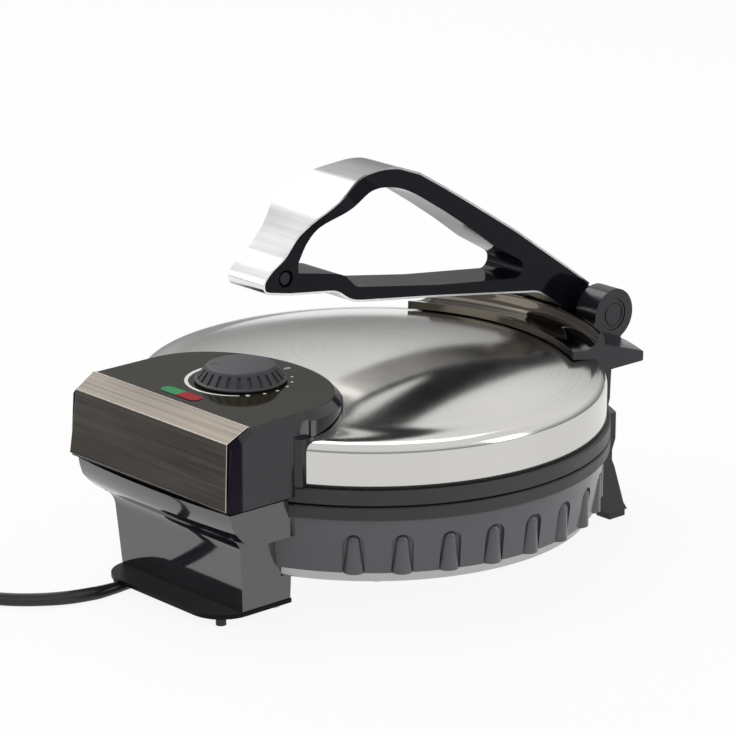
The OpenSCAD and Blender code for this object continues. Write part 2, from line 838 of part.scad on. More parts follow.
// Slopes along the top edge of both straight sides and of the bevel
module side_slopes() {
    tilt = atan2(panel_z - trim_top_z, bevel_run);
    knee = trim_y + trim_t + 0.1 + trim_lean + bevel_run;
    for (s = [0, 1])
        mirror([s, 0, 0]) translate([house_hw, knee, panel_z - rim_w]) {
            rotate([0, -45, 0]) cube([30, -knee, 30]);
            rotate([tilt, 0, 0]) rotate([0, -45, 0]) translate([0, -30, 0]) cube([30, 31, 30]);
        }
}

// Oval back with a sloping top edge
module back_form() {
    a = house_hw + back_step;
    slope = rim_w + back_step;
    low = dome_z - 12;
    intersection() {
        translate([0, back_y, 0]) {
            translate([0, 0, low]) linear_extrude(height = panel_z - slope - low) back_outline(a, back_b);
            skin([oval_ring(a, back_b, panel_z - slope), oval_ring(a - slope, back_b - slope, panel_z)]);
        }
        translate([-100, side_end_y, 0]) cube([200, 100, 200]);
    }
}

// Dial panel's outline, from depth below the face to rise above it
module panel_form(gap, depth, rise) {
    front = trim_y + trim_t + trim_lean + bevel_run + 1 + gap;
    translate([0, 0, panel_z - depth]) linear_extrude(height = depth + rise)
        polygon(concat([[-panel_hw + gap, front], [panel_hw - gap, front]],
            oval([0, back_y], panel_hw - gap, panel_b - gap, 0, 180, 60)));
}

shell_back_r = plate_r + pass_gap + house_wall;

// Upright flange along the lid's wall behind each straight side
module side_flanges() {
    low = lid_low + pass_gap;
    intersection() {
        translate([0, 0, low])
            cylinder(r = cover_r + pass_gap + flange_t, h = flange_top - low, $fn = 180);
        for (s = [-1, 1])
            translate([s * house_hw - flange_w, side_end_y - 20, 0]) cube([2 * flange_w, 20, 200]);
    }
}

module control_shell() {
    deck = shoulder_z + 3;
    color("#19171c") place() difference() {
        union() {
            difference() {
                intersection() {
                    side_cut(house_side(0, shell_low), 2 * house_hw);
                    translate([0, 0, shell_low - 1]) linear_extrude(height = 60) house_outline(0);
                    translate([-100, trim_y, 0]) cube([200, side_end_y - trim_y, 200]);
                }
                side_slopes();
            }
            back_form();
            side_flanges();
        }
        difference() {
            intersection() {
                side_cut(house_side(house_wall, shell_low + house_wall), 2 * (house_hw - house_wall));
                translate([0, 0, shell_low]) linear_extrude(height = 60) house_outline(house_wall);
                translate([-100, trim_y, 0]) cube([200, back_y - trim_y, panel_z - panel_t - 3]);
            }
            cylinder(r = shell_back_r, h = deck, $fn = 180);
        }
        intersection() {
            translate([0, back_y, deck])
                linear_extrude(height = panel_z - panel_t - 3 - deck)
                    back_outline(house_hw + back_step - house_wall, back_b - house_wall);
            translate([-100, back_y - 2, 0]) cube([200, 100, 200]);
        }
        panel_form(ledge_w, 12, 1);
        panel_form(0, panel_t + seat_gap, 1);
        lid_space(pass_gap);
        at_lid_screws(cover_r - 2, [180 + lug_screw_a, 180 - lug_screw_a])
            cylinder(r = screw_d / 2 + screw_gap, h = 10, $fn = 32);
    }
}

// Front trim: folded steel sheet over the housing's front and bevel
module front_trim() {
    out = -0.1 - trim_t;
    outer = house_side(out, trim_low_z);
    inner = house_side(-0.1, trim_low_z);
    color("#57504b") place() intersection() {
        side_cut([outer[0], outer[2], [outer[3][0], outer[3][1] - 0.3],
            [inner[3][0] - 0.6, inner[3][1] - 0.3],
            inner[2], inner[0]], 2 * house_hw);
        translate([0, trim_y + 40, 0]) rotate([90, 0, 0]) linear_extrude(height = 60)
            polygon([[-trim_hw_low, trim_low_z], [trim_hw_low, trim_low_z], [trim_hw_mid, trim_top_z],
                [trim_hw_top, panel_z + 3], [-trim_hw_top, panel_z + 3], [-trim_hw_mid, trim_top_z]]);
    }
}

// Outline of the lamp window, from side 0 to 1 of its length
module window_outline(gap, from, to) {
    r = window_w / 2 - gap;
    half = window_l / 2 - window_w / 2;
    intersection() {
        union() {
            square([2 * half, 2 * r], center = true);
            for (s = [-1, 1]) translate([s * half, 0]) circle(r = r, $fn = 48);
        }
        translate([(from - 0.5) * window_l, -window_w]) square([(to - from) * window_l, 2 * window_w]);
    }
}

module dial_panel() {
    color("#45433a") place() difference() {
        panel_form(seat_gap, panel_t, 0);
        translate([0, -dial_y, panel_z - panel_t - 1]) cylinder(r = shaft_d / 2 + pass_gap, h = 5, $fn = 48);
        translate([window_x, window_y, panel_z - panel_t - 1])
            linear_extrude(height = 5) window_outline(0, 0, 1);
        lid_space(seat_gap);
    }
}

// One lens: half of the window, with a flange below the panel
module lens(from, to) {
    flange = 1;
    translate([window_x, window_y, panel_z - panel_t - seat_gap - flange]) {
        linear_extrude(height = panel_t + seat_gap + flange + 0.4) window_outline(seat_gap, from, to);
        linear_extrude(height = flange) intersection() {
            square([window_l + 2, window_w + 2], center = true);
            translate([(from - 0.5) * (window_l + 2), -window_w])
                square([(to - from) * (window_l + 2), 2 * window_w]);
        }
    }
}

module green_lens() {
    color("green") place() lens(0, 0.5 - 0.005);
}

module red_lens() {
    color("red") place() lens(0.5 + 0.005, 1);
}

// Holder below the window, with a well for each lamp
lamp_d = 5;
holder_h = 11;
holder_top = panel_z - panel_t - 2 * seat_gap - 1;

module lamp_holder() {
    color("#242226") place() translate([window_x, window_y, holder_top - holder_h]) difference() {
        translate([-window_l / 2 - 1, -window_w / 2 - 1, 0]) cube([window_l + 2, window_w + 2, holder_h]);
        for (s = [-1, 1])
            translate([s * window_l / 4, 0, 2]) cylinder(d = lamp_d + 2 * seat_gap, h = holder_h, $fn = 40);
    }
}

module indicator_lamps() {
    color("orange") place()
        for (s = [-1, 1])
            translate([window_x + s * window_l / 4, window_y, holder_top - holder_h + 2 + seat_gap])
                cylinder(d = lamp_d, h = holder_h - 3, $fn = 40);
}

// Thermostat: body on the upper plate and a neck up through the lid to the dial panel
module thermostat() {
    base = upper_face + plate_t + element_d / 2 + seat_gap;
    neck_top = panel_z - panel_t - seat_gap;
    color("darkgray") place() translate([0, -dial_y, 0]) difference() {
        union() {
            translate([0, 0, base]) cylinder(r = thermostat_r, h = thermostat_h, $fn = 72);
            translate([0, 0, base]) cylinder(r = bush_r, h = neck_top - base, $fn = 48);
        }
        translate([0, 0, neck_top - shaft_in - 8]) cylinder(d = shaft_d + 2 * turn_gap, h = 30, $fn = 48);
    }
}

module dial_shaft() {
    neck_top = panel_z - panel_t - seat_gap;
    color("silver") place() translate([0, -dial_y, neck_top - shaft_in - 8 + seat_gap])
        cylinder(d = shaft_d, h = shaft_top - neck_top + shaft_in + 8 - seat_gap, $fn = 48);
}

// Dial knob: low cone with flutes between a plain skirt band and a rounded top
module dial_knob() {
    low = panel_z + knob_lift;
    lean = knob_skirt_r - knob_r;
    edge = 1.2;
    color("#4d4b50") place() translate([0, -dial_y, low]) difference() {
        rotate_extrude($fn = 120)
            polygon(concat([[0, 0], [knob_skirt_r - 1.2, 0], [knob_skirt_r, 0.8], [knob_skirt_r, knob_band]],
                arc([knob_r - edge + 0.4, knob_h - edge], edge, 20, 90, 5), [[0, knob_h + 0.3]]));
        for (k = [0:flute_count - 1])
            rotate([0, 0, k * 360 / flute_count])
                translate([knob_skirt_r + 0.3, 0, knob_band - 0.2])
                    rotate([0, -atan2(lean, knob_h - knob_band), 0]) translate([0, 0, -1])
                        cylinder(r = 1, h = 14, $fn = 16);
        translate([0, 0, -1]) cylinder(d = shaft_d + seat_gap, h = shaft_top - low + 1 + seat_gap, $fn = 48);
    }
}

// Rear hood of the lid: skirt on the dome, ridge, tail, legs down the lid's wall, and pivot ears

// Smooth curve through points, with more steps where they lie close together
function smooth(p, far = 14) = [
    for (i = [0:len(p) - 2])
        let (a = p[max(i - 1, 0)], b = p[i], c = p[i + 1], d = p[min(i + 2, len(p) - 1)],
            l = norm(c - b), u = (c - a) * l / (norm(b - a) + l), v = (d - b) * l / (norm(d - c) + l),
            n = l > far ? 1 : 3)
            for (k = [0:n - 1]) let (t = k / n)
                b * (2 * t * t * t - 3 * t * t + 1) + u * (t * t * t - 2 * t * t + t)
                    + c * (3 * t * t - 2 * t * t * t) + v * (t * t * t - t * t),
    p[len(p) - 1]];

// Hood's top from the skirt over the hollow to the ridge and its back, measured from the ridge
hood_line = smooth([[-35, -2.6], [-26, -5.2], [-17.4, -6.8], [-10.9, -7.9], [-6, -7.4], [-3, -5.2],
    [-1.2, -1.6], [0.2, 0], [1.6, -1.3], [2.5, -4.5]]);

// Solid below the hood's top, lowered by drop
module hood_top(drop, half) {
    intersection() {
        translate([0, 0, ridge_z - drop])
            turned(concat([[ridge_r - 35, -30], [ridge_r + 2.5, -30]],
                [for (i = [len(hood_line) - 1:-1:0]) hood_line[i] + [ridge_r, 0]]));
        translate([-half, 0, 0]) cube([2 * half, 200, 200]);
    }
}

// What lies in front of the hood's bowed front edge
module hood_front_space(inset) {
    translate([0, hood_front - hood_front_r, 0]) cylinder(r = hood_front_r + inset, h = 200, $fn = 240);
}

module rear_hood() {
    lip = hood_cover_t;
    tail_top = ridge_z - 7.6;
    color("#35333a") place() difference() {
        union() {
            difference() {
                union() {
                    hood_top(hood_cover_t + seat_gap, hood_hw);
                    difference() {
                        hood_top(0, hood_hw);
                        translate([-hood_hw + hood_end, 0, 0]) cube([2 * (hood_hw - hood_end), 200, 200]);
                    }
                }
                translate([-hood_hw + hood_end, 0, 0])
                    intersection() {
                        cube([2 * (hood_hw - hood_end), 200, 200]);
                        translate([hood_hw - hood_end, 0, 0]) hood_front_space(lip + seat_gap);
                    }
                hood_front_space(0);
            }
            intersection() {
                turned([[ridge_r - 10, hood_low], [leg_r - 1.3, hood_low], [leg_r - 0.2, hood_low + 4.2],
                    [leg_r, hood_low + 12], [leg_r + 0.4, tail_low], [tail_r - 0.8, tail_low],
                    [tail_r, tail_low + 0.5], [tail_r, tail_low + tail_t],
                    [tail_r - 1, tail_low + tail_t + 0.6], [ridge_r + 3.3, tail_top],
                    [ridge_r + 2.5, tail_top + 1.2], [ridge_r + 1, tail_top + 1.2],
                    [ridge_r + 1, tail_top - 3], [ridge_r - 10, tail_top - 3]]);
                translate([-hood_hw, 60, 0]) cube([2 * hood_hw, 140, 200]);
            }
            for (s = [-1, 1]) hood_ear(s);
            hinge_knuckle();
        }
        lid_space(seat_gap);
        translate([-ear_in, pivot_y, pivot_z]) rotate([0, 90, 0])
            cylinder(r = knuckle_r + pass_gap + 0.3, h = 2 * ear_in, $fn = 96);
        translate([-60, pivot_y, pivot_z]) rotate([0, 90, 0])
            cylinder(d = pivot_d + seat_gap, h = 120, $fn = 64);
        for (s = [-1, 1])
            translate([s * (ear_in + ear_t), pivot_y, pivot_z]) rotate([0, 90, 0])
                cylinder(r = cap_r + seat_gap, h = 2 * (cap_t + cap_recess), center = true, $fn = 72);
        translate([-60, hinge_y, hinge_z]) rotate([0, 90, 0])
            cylinder(d = hinge_pin_d + 2 * turn_gap, h = 120, $fn = 48);
        at_lid_screws(cover_r - 2, [lug_screw_a, -lug_screw_a])
            cylinder(r = screw_d / 2 + screw_gap, h = 10, $fn = 32);
        at_lid_screws(leg_r - screw_head_h - seat_gap, [lug_screw_a, -lug_screw_a])
            cylinder(r = screw_head_r + 0.3, h = 10, $fn = 40);
    }
}

// One ear with its web down to the tail
module hood_ear(s) {
    mid = s * (ear_in + ear_t / 2);
    translate([mid, pivot_y, pivot_z]) rotate([0, 90, 0])
        cylinder(r = ear_r, h = ear_t, center = true, $fn = 96);
    side_cut([[pivot_y - ear_r + 0.3, pivot_z - 1], [pivot_y - ear_r - 5, pivot_z - 7.5],
        [pivot_y - ear_r - 5, tail_low + 4], [pivot_y - 6, tail_low + 2], [pivot_y + 5, tail_low + 3],
        [pivot_y + 9, pivot_z - 11]], ear_t, mid);
}

// Middle knuckle of the lid's hinge, hanging from the tail
module hinge_knuckle() {
    hw = tower_in - pass_gap;
    translate([0, hinge_y, hinge_z]) rotate([0, 90, 0])
        cylinder(r = hinge_r, h = 2 * hw, center = true, $fn = 64);
    side_cut([[hinge_y - hinge_r, hinge_z], [hinge_y + hinge_r, hinge_z], [hinge_y + hinge_r, tail_low + 1],
        [leg_r - 1, tail_low + 1], [leg_r - 1, tail_low - 6]], 2 * hw);
}

// Bright cover over the hood's hollow top, with a lip down to the dome
module hood_cover() {
    half = hood_hw - hood_end - seat_gap;
    color("#4a4440") place() difference() {
        hood_top(0, half);
        difference() {
            hood_top(hood_cover_t, half + 1);
            hood_front_space(hood_cover_t);
        }
        hood_front_space(0);
        lid_space(pass_gap);
        translate([-100, 0, 0]) difference() {
            cube([200, 200, ridge_z - 9.5]);
            translate([100, 0, 0]) hood_front_space(hood_cover_t);
        }
    }
}

module handle_pivot_pin() {
    half = ear_in + ear_t - cap_t - cap_recess - seat_gap;
    color("silver") place() translate([0, pivot_y, pivot_z]) rotate([0, 90, 0])
        cylinder(d = pivot_d, h = 2 * half, center = true, $fn = 64);
}

module pivot_caps() {
    color("#2c2a30") place()
        for (s = [0, 1]) mirror([s, 0, 0])
            translate([ear_in + ear_t - cap_t - cap_recess, pivot_y, pivot_z])
                rotate([0, 90, 0]) difference() {
                    cylinder(r = cap_r, h = cap_t, $fn = 72);
                    translate([0, 0, cap_t - 0.6]) difference() {
                        cylinder(r = cap_r - 2, h = 2, $fn = 64);
                        translate([0, 0, -1]) cylinder(r = cap_r - 3, h = 4, $fn = 64);
                    }
                }
}

// Handle: aluminium band round a black frame with a finger window

// Outer line measured from the pivot: over the top to the nose, then back below
handle_line = [[2.7, 14.1], [-14.3, 26.5], [-58.6, 57.5], [-95.9, 81.2], [-115.1, 93.1], [-134, 104.2],
    [-149, 109.8], [-160.4, 111.4], [-171, 111], [-181, 109.7], [-192, 106.2], [-202.5, 101.1],
    [-212.6, 94.9], [-219.6, 89.1], [-226, 83], [-230, 78.6], [-235.5, 72.8], [-243, 68.2],
    [-248.4, 63.5], [-250, 59.5], [-249, 56], [-245.5, 54.2], [-231, 51.1], [-204.7, 47.5], [-196.3, 45.7],
    [-188, 40.3], [-181.4, 37.9], [-170.7, 36.2], [-118.7, 28.7], [-50.4, 17.9], [-40.4, 16],
    [-32.9, 11.7], [-16.1, 0.1]];

// Finger window measured from the pivot, from its lower front corner round to the rear
window_line = [[-224.6, 62.6], [-224.6, 68], [-222.2, 72.6], [-219.2, 77.9], [-212.8, 86.9],
    [-202.6, 92.1], [-188.4, 96.5], [-175.1, 100], [-164.8, 100.6], [-155, 99.2], [-146.3, 96.6],
    [-133.9, 90.2], [-114.9, 78.3], [-95.7, 65.3], [-76.8, 51.4], [-58.4, 40.7], [-53.4, 36.8],
    [-53.6, 31.5], [-58.5, 28.3], [-118.7, 35.9], [-180.5, 46.4], [-187, 51.5], [-190.4, 54.6], [-196.3, 57]];

// Moves a line to its left by d
function beside(p, d) = [
    for (i = [0:len(p) - 1])
        let (t = p[min(i + 1, len(p) - 1)] - p[max(i - 1, 0)], u = t / norm(t))
            p[i] + d * [-u[1], u[0]]];

function from_pivot(p) = [for (q = p) q + [pivot_y, pivot_z]];

handle_curve = from_pivot(smooth(handle_line));
frame_curve = beside(handle_curve, band_t + seat_gap);
swell_from = -103.4;
swell_to = -41.4;
swell_low = 184.2;

// Keeps what lies above the window inside the grip's swelling sides
module swell_space() {
    turn = 45;
    steps = 16;
    side = [for (i = [0:steps]) let (t = i / steps)
        [handle_hw + grip_swell * pow(sin(180 * t), 2), swell_from + (swell_to - swell_from) * t]];
    translate([0, pivot_y, pivot_z])
        rotate([turn, 0, 0])
            translate([0, 0, swell_low])
                linear_extrude(height = 80)
                    polygon(concat(side, [for (i = [steps:-1:0]) [-side[i][0], side[i][1]]]));
}

module handle_side(width) {
    difference() {
        side_cut(concat(frame_curve, [[pivot_y, pivot_z]]), width);
        side_cut(from_pivot(smooth(window_line)), width + 2);
    }
}

module handle_frame() {
    color("#221f26") place() difference() {
        union() {
            handle_side(2 * handle_hw);
            intersection() {
                handle_side(4 * handle_hw);
                swell_space();
            }
            translate([0, pivot_y, pivot_z]) rotate([0, 90, 0])
                cylinder(r = knuckle_r, h = 2 * knuckle_hw, center = true, $fn = 96);
        }
        translate([0, pivot_y, pivot_z]) rotate([0, 90, 0])
            cylinder(d = pivot_d + 2 * turn_gap, h = 100, center = true, $fn = 64);
        at_handle_screws() {
            translate([0, 0, -2.2]) cylinder(r = 5, h = 5, $fn = 48);
            translate([0, 0, -13]) cylinder(r = 1.6, h = 12, $fn = 32);
        }
    }
}

// Places something on both sides of the handle's nose, with +Z outwards
module at_handle_screws() {
    for (s = [-1, 1])
        translate([s * handle_hw, pivot_y + handle_screw_y, pivot_z + handle_screw_z])
            rotate([0, 90 * s, 0]) children();
}

module handle_band() {
    inner = beside(handle_curve, band_t);
    line = concat(handle_curve, [for (i = [len(inner) - 1:-1:0]) inner[i]]);
    color("silver") place() {
        side_cut(line, 2 * handle_hw);
        intersection() {
            side_cut(line, 4 * handle_hw);
            swell_space();
        }
    }
}

module handle_screws() {
    color("#3a3840") place() at_handle_screws() {
        translate([0, 0, -2.1]) cylinder(r1 = 4.2, r2 = 3.4, h = 1.4, $fn = 40);
        translate([0, 0, -10]) cylinder(r = 1.5, h = 8.5, $fn = 32);
    }
}

// Cord: flat twin lead from below the foot plate, with its coil and plug

cord_x = -33;
cord_low = 0.15;
relief_l = 9;
// Route of the free stretch from above, from the strain relief to the coil, in front of the foot
cord_route = [for (p = [[cord_x, 12], [cord_x, 4], [-31.5, -10.5], [-31, -19.5], [-35.5, -37], [-47, -54],
    [-61, -66], [-84, -78], [-93, -82.5], [-100, -86]]) p + [0, foot_front]];
// Coil: radius and turns, one layer in and one layer out
coil_r = 44;
coil_turns = 3.25;
coil_pitch = 4.8;
coil_layer = 8;
coil_rings = 24;
plug_l = 34;
plug_w = 20;
plug_h = 14;
plug_z = plug_h / 2 + cord_low;
tail_l = 44;

// Half height of the flat cord when it leans by an angle from lying flat
function cord_rise(a) = sqrt(pow(cord_w / 2 * sin(a), 2) + pow(cord_t / 2 * cos(a), 2));

// Cord's section of n sides, leaning by a from lying flat: pairs of side and height
function cord_section(n, a) = [
    for (i = [n - 1:-1:0])
        let (f = 360 * (i + 0.5) / n, x = cord_w / 2 * cos(f) * (n == 8 ? 1.06 : 1),
            y = cord_t / 2 * sin(f) * (n == 8 ? 1.06 : 1.12))
            [x * cos(a) - y * sin(a), x * sin(a) + y * cos(a)]];

// Closed tube through rings of equal size
module skin(rings) {
    n = len(rings[0]);
    m = len(rings);
    faces = [
        [for (j = [0:n - 1]) j],
        for (i = [0:m - 2], j = [0:n - 1]) let (k = (j + 1) % n)
            [i * n + j, (i + 1) * n + j, (i + 1) * n + k],
        for (i = [0:m - 2], j = [0:n - 1]) let (k = (j + 1) % n)
            [i * n + j, (i + 1) * n + k, i * n + k],
        [for (j = [n - 1:-1:0]) (m - 1) * n + j]];
    polyhedron(points = [for (r = rings) each r], faces = faces, convexity = 10);
}

// Ring of a section at point p, square to the level direction d
function ring_at(p, d, section) =
    let (u = d / norm(d)) [for (q = section) [p[0] + u[1] * q[0], p[1] - u[0] * q[0], p[2] + q[1]]];

// Level direction of travel at point i of a line
function heading(p, i) =
    let (t = p[min(i + 1, len(p) - 1)] - p[max(i - 1, 0)]) [t[0], t[1]];

route = concat([cord_route[0]], smooth([for (i = [1:len(cord_route) - 2]) cord_route[i]], 12),
    [cord_route[len(cord_route) - 1]]);

module power_cord() {
    last = len(route) - 1;
    lean = [for (i = [0:last]) 12 + 78 * min(1, max(0, (i - 1) / 7))];
    end = cord_route[9] - cord_route[8];
    rings = [for (i = [0:last])
        let (d = i == 0 ? [0, -1] : i == last ? end : heading(route, i))
            ring_at([route[i][0], route[i][1], cord_rise(lean[i]) * 1.05 + cord_low], d,
                cord_section(8, lean[i]))];
    color("#222222") place() skin(rings);
}

// Coil's centre line: spiral in on the lower layer, climb where it turns back, spiral out
coil_dir = (cord_route[9] - cord_route[8]) / norm(cord_route[9] - cord_route[8]);
coil_from = atan2(-coil_dir[0], coil_dir[1]);
coil_start = cord_route[9] + coil_dir * cord_w;
coil_mid = coil_start - coil_r * [cos(coil_from), sin(coil_from)];
coil_low = cord_rise(90) * 1.05 + cord_low;
function coil_step(t) = max(0, min(1, (t - coil_turns / 2) * 2 + 0.5));
function coil_point(t) =
    let (r = coil_r - coil_pitch * (coil_turns / 2 - abs(t - coil_turns / 2)), a = coil_from + 360 * t,
        s = coil_step(t))
        [coil_mid[0] + r * cos(a), coil_mid[1] + r * sin(a), coil_low + coil_layer * s * s * (3 - 2 * s)];

coil_line = [for (i = [0:coil_turns * coil_rings]) coil_point(i / coil_rings)];
tail_from = coil_line[len(coil_line) - 1];
tail_angle = coil_from + 360 * coil_turns + 90;
tail_dir = [cos(tail_angle), sin(tail_angle)];
function tail_drop(s) = let (t = max(0, min(1, (s - 12) / 22))) t * t * (3 - 2 * t);
tail_line = [for (s = [7.5, 15, 20, 25, 30, 36.5, tail_l])
    [tail_from[0] + s * tail_dir[0], tail_from[1] + s * tail_dir[1],
        tail_from[2] + (plug_z - tail_from[2]) * tail_drop(s)]];
coil_path = concat([[cord_route[9][0], cord_route[9][1], coil_low]], coil_line, tail_line);

coil_ring_list = [for (i = [0:len(coil_path) - 1])
    ring_at(coil_path[i], i == 0 ? coil_dir : i == len(coil_path) - 1 ? tail_dir : heading(coil_path, i),
        cord_section(6, 90))];

// Least gap of the coil to itself, measured on its rings' points half a turn and more apart
coil_gap = min([for (i = [0:len(coil_ring_list) - 1], j = [i + 14:1:len(coil_ring_list) - 1])
    each norm(coil_path[i] - coil_path[j]) > 16 ? [] :
        [for (p = coil_ring_list[i], q = coil_ring_list[j]) norm(p - q)]]);
echo(coil_gap = coil_gap);

module cord_coil() {
    color("#222222") place() skin(coil_ring_list);
}

// Block in which the cord leaves the foot plate
module cord_strain_relief() {
    color("#1b1b1b") place()
        translate([cord_x - cord_w / 2 - 2.5, cord_route[0][1], cord_low + 0.1])
            cube([cord_w + 5, relief_l, foot_top - foot_skin - seat_gap - cord_low - 0.1]);
}

// Plug: rounded body, its rear end narrowed to the cord, and two flat blades
module at_plug() {
    end = coil_path[len(coil_path) - 1];
    translate([end[0], end[1], plug_z]) rotate([0, 0, tail_angle]) rotate([0, 90, 0]) children();
}

module plug_body() {
    neck_l = 12;
    color("#222222") place() at_plug() {
        cylinder(r1 = cord_w / 2 + 0.8, r2 = cord_w / 2 + 1.6, h = neck_l + 0.5, $fn = 40);
        translate([0, 0, neck_l]) linear_extrude(height = plug_l - neck_l)
            polygon([for (i = [0:39]) [plug_h / 2 * cos(9 * i), plug_w / 2 * sin(9 * i)]]);
    }
}

module plug_blades() {
    gap = 12.7;
    blade = [6.4, 1.5, 17];
    color("silver") place() at_plug()
        for (s = [-1, 1])
            translate([-blade[0] / 2, s * gap / 2 - blade[1] / 2, plug_l]) cube(blade);
}

base_ring();
base_pan();
lower_plate();
lower_heating_element();
thermal_fuse();
plate_screws();
pan_screws();
front_housing();
housing_cover();
terminal_block();
foot_plate();
front_feet();
foot_screws();
rear_bracket();
rear_feet();
bracket_screws();
lid_hinge_pin();
lid_cover();
upper_plate();
upper_heating_element();
lid_screws();
control_shell();
front_trim();
dial_panel();
green_lens();
red_lens();
lamp_holder();
indicator_lamps();
thermostat();
rear_hood();
hood_cover();
handle_pivot_pin();
pivot_caps();
dial_knob();
dial_shaft();
handle_frame();
handle_band();
handle_screws();
cord_strain_relief();
power_cord();
cord_coil();
plug_body();
plug_blades();
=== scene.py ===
from math import atan2, copysign, cos, pi, radians, sin, sqrt

import bmesh
import bpy
from mathutils import Matrix, Vector


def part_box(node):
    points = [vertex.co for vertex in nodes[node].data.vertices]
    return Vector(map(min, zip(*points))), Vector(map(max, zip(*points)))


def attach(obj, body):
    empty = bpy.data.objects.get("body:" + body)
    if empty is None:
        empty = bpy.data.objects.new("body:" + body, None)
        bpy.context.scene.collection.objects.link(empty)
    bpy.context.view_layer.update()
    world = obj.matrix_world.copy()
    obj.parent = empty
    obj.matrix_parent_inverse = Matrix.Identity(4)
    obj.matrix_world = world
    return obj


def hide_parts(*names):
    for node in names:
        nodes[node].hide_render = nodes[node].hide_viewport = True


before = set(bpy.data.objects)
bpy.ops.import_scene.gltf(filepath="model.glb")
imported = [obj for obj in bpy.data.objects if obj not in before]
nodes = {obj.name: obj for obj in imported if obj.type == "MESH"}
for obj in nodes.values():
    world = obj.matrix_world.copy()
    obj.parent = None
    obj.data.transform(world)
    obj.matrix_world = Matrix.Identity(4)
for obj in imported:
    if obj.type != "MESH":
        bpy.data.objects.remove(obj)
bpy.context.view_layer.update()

# The photographer's camera: a long lens, a little above the press and to the right of its front.
# The plates' centre lies a few millimetres in front of the middle of the whole press.
MM = 0.001
plate_centre = Vector((0, -4.1 * MM, 0))
camera_place = plate_centre + Vector((1.4714, -1.3195, 0.7184))
camera_target = plate_centre + Vector((-0.0031, 0, 0.1052))
photo_pixels = 736
photo_drop = 3
camera = bpy.data.objects.new("camera", bpy.data.cameras.new("camera"))
camera.location = camera_place
camera.rotation_euler = (camera_target - camera_place).to_track_quat("-Z", "Y").to_euler()
camera.data.lens = 177.9
camera.data.sensor_width = 36
camera.data.shift_y = -photo_drop / photo_pixels
camera.data.clip_end = 20
bpy.context.scene.collection.objects.link(camera)
bpy.context.scene.camera = camera
bpy.context.scene.view_settings.view_transform = "Standard"


# Studio: a white room with large soft boxes above and beside the press. In mirrors the room gets
# dimmer towards the floor, which gives the black mouldings and the steel their dark streaks.
def put(name, data):
    """A new object in the scene."""
    thing = bpy.data.objects.new(name, data)
    bpy.context.scene.collection.objects.link(thing)
    return thing


light_aim = Vector((0, 0, 0.1))


def soft_light(name, place, width, height, power):
    """A rectangular soft box that looks from its place towards the press."""
    lamp = put(name, bpy.data.lights.new(name, "AREA"))
    lamp.data.shape = "RECTANGLE"
    lamp.data.size = width
    lamp.data.size_y = height
    lamp.data.energy = power
    lamp.location = place
    lamp.rotation_euler = (light_aim - Vector(place)).to_track_quat("-Z", "Y").to_euler()


def node(tree, kind, inputs=None, **settings):
    """A shader node with its inputs linked or set."""
    made = tree.nodes.new(kind)
    for key, value in settings.items():
        setattr(made, key, value)
    for key, value in (inputs or {}).items():
        if isinstance(value, bpy.types.NodeSocket):
            tree.links.new(value, made.inputs[key])
        else:
            made.inputs[key].default_value = value
    return made


def joined(tree, operation, first, second):
    """Two values put through one maths node."""
    return node(tree, "ShaderNodeMath", {0: first, 1: second}, operation=operation).outputs[0]


def carried(tree, value, span, onto, **settings):
    """A value carried from one span onto another, and held at the ends."""
    ends = {1: span[0], 2: span[1], 3: onto[0], 4: onto[1]}
    return node(tree, "ShaderNodeMapRange", {0: value, **ends}, **settings).outputs[0]


soft_light("top_soft_box", place=(-0.5, 0.3, 1.9), width=1.5, height=1.2, power=11)
soft_light("left_soft_box", place=(-1.2, -1.6, 0.9), width=0.9, height=1.3, power=8)
soft_light("high_soft_box", place=(-1.65, 0.3, 1.6), width=1.0, height=0.9, power=7)
soft_light("right_soft_box", place=(1.9, 0.9, 0.8), width=0.7, height=1.2, power=8)

room_light = 0.5
mirror_floor, mirror_ceiling = 0.3, 1.0
mirror_rise = 0.55
world = bpy.data.worlds.new("studio")
bpy.context.scene.world = world
world.use_nodes = True
air = world.node_tree
air.nodes.clear()
rays = node(air, "ShaderNodeLightPath").outputs
seen = joined(air, "MAXIMUM", rays["Is Camera Ray"], rays["Is Transmission Ray"])
gaze = node(air, "ShaderNodeSeparateXYZ", {0: node(air, "ShaderNodeTexCoord").outputs["Generated"]})
mirrored = carried(air, gaze.outputs["Z"], span=(0, mirror_rise), onto=(mirror_floor, mirror_ceiling),
                   interpolation_type="SMOOTHSTEP")
unseen = node(air, "ShaderNodeMix", {"Factor": rays["Is Glossy Ray"], "A": room_light, "B": mirrored})
level = node(air, "ShaderNodeMix", {"Factor": seen, "A": unseen.outputs[0], "B": 1.0})
sky = node(air, "ShaderNodeBackground", {"Color": (1, 1, 1, 1), "Strength": level.outputs[0]})
node(air, "ShaderNodeOutputWorld", {"Surface": sky.outputs[0]})


def put_form(name, form, smooth=False):
    """A new object with a form's mesh."""
    for face in form.faces:
        face.smooth = smooth
    piece = put(name, bpy.data.meshes.new(name))
    form.to_mesh(piece.data)
    form.free()
    return piece


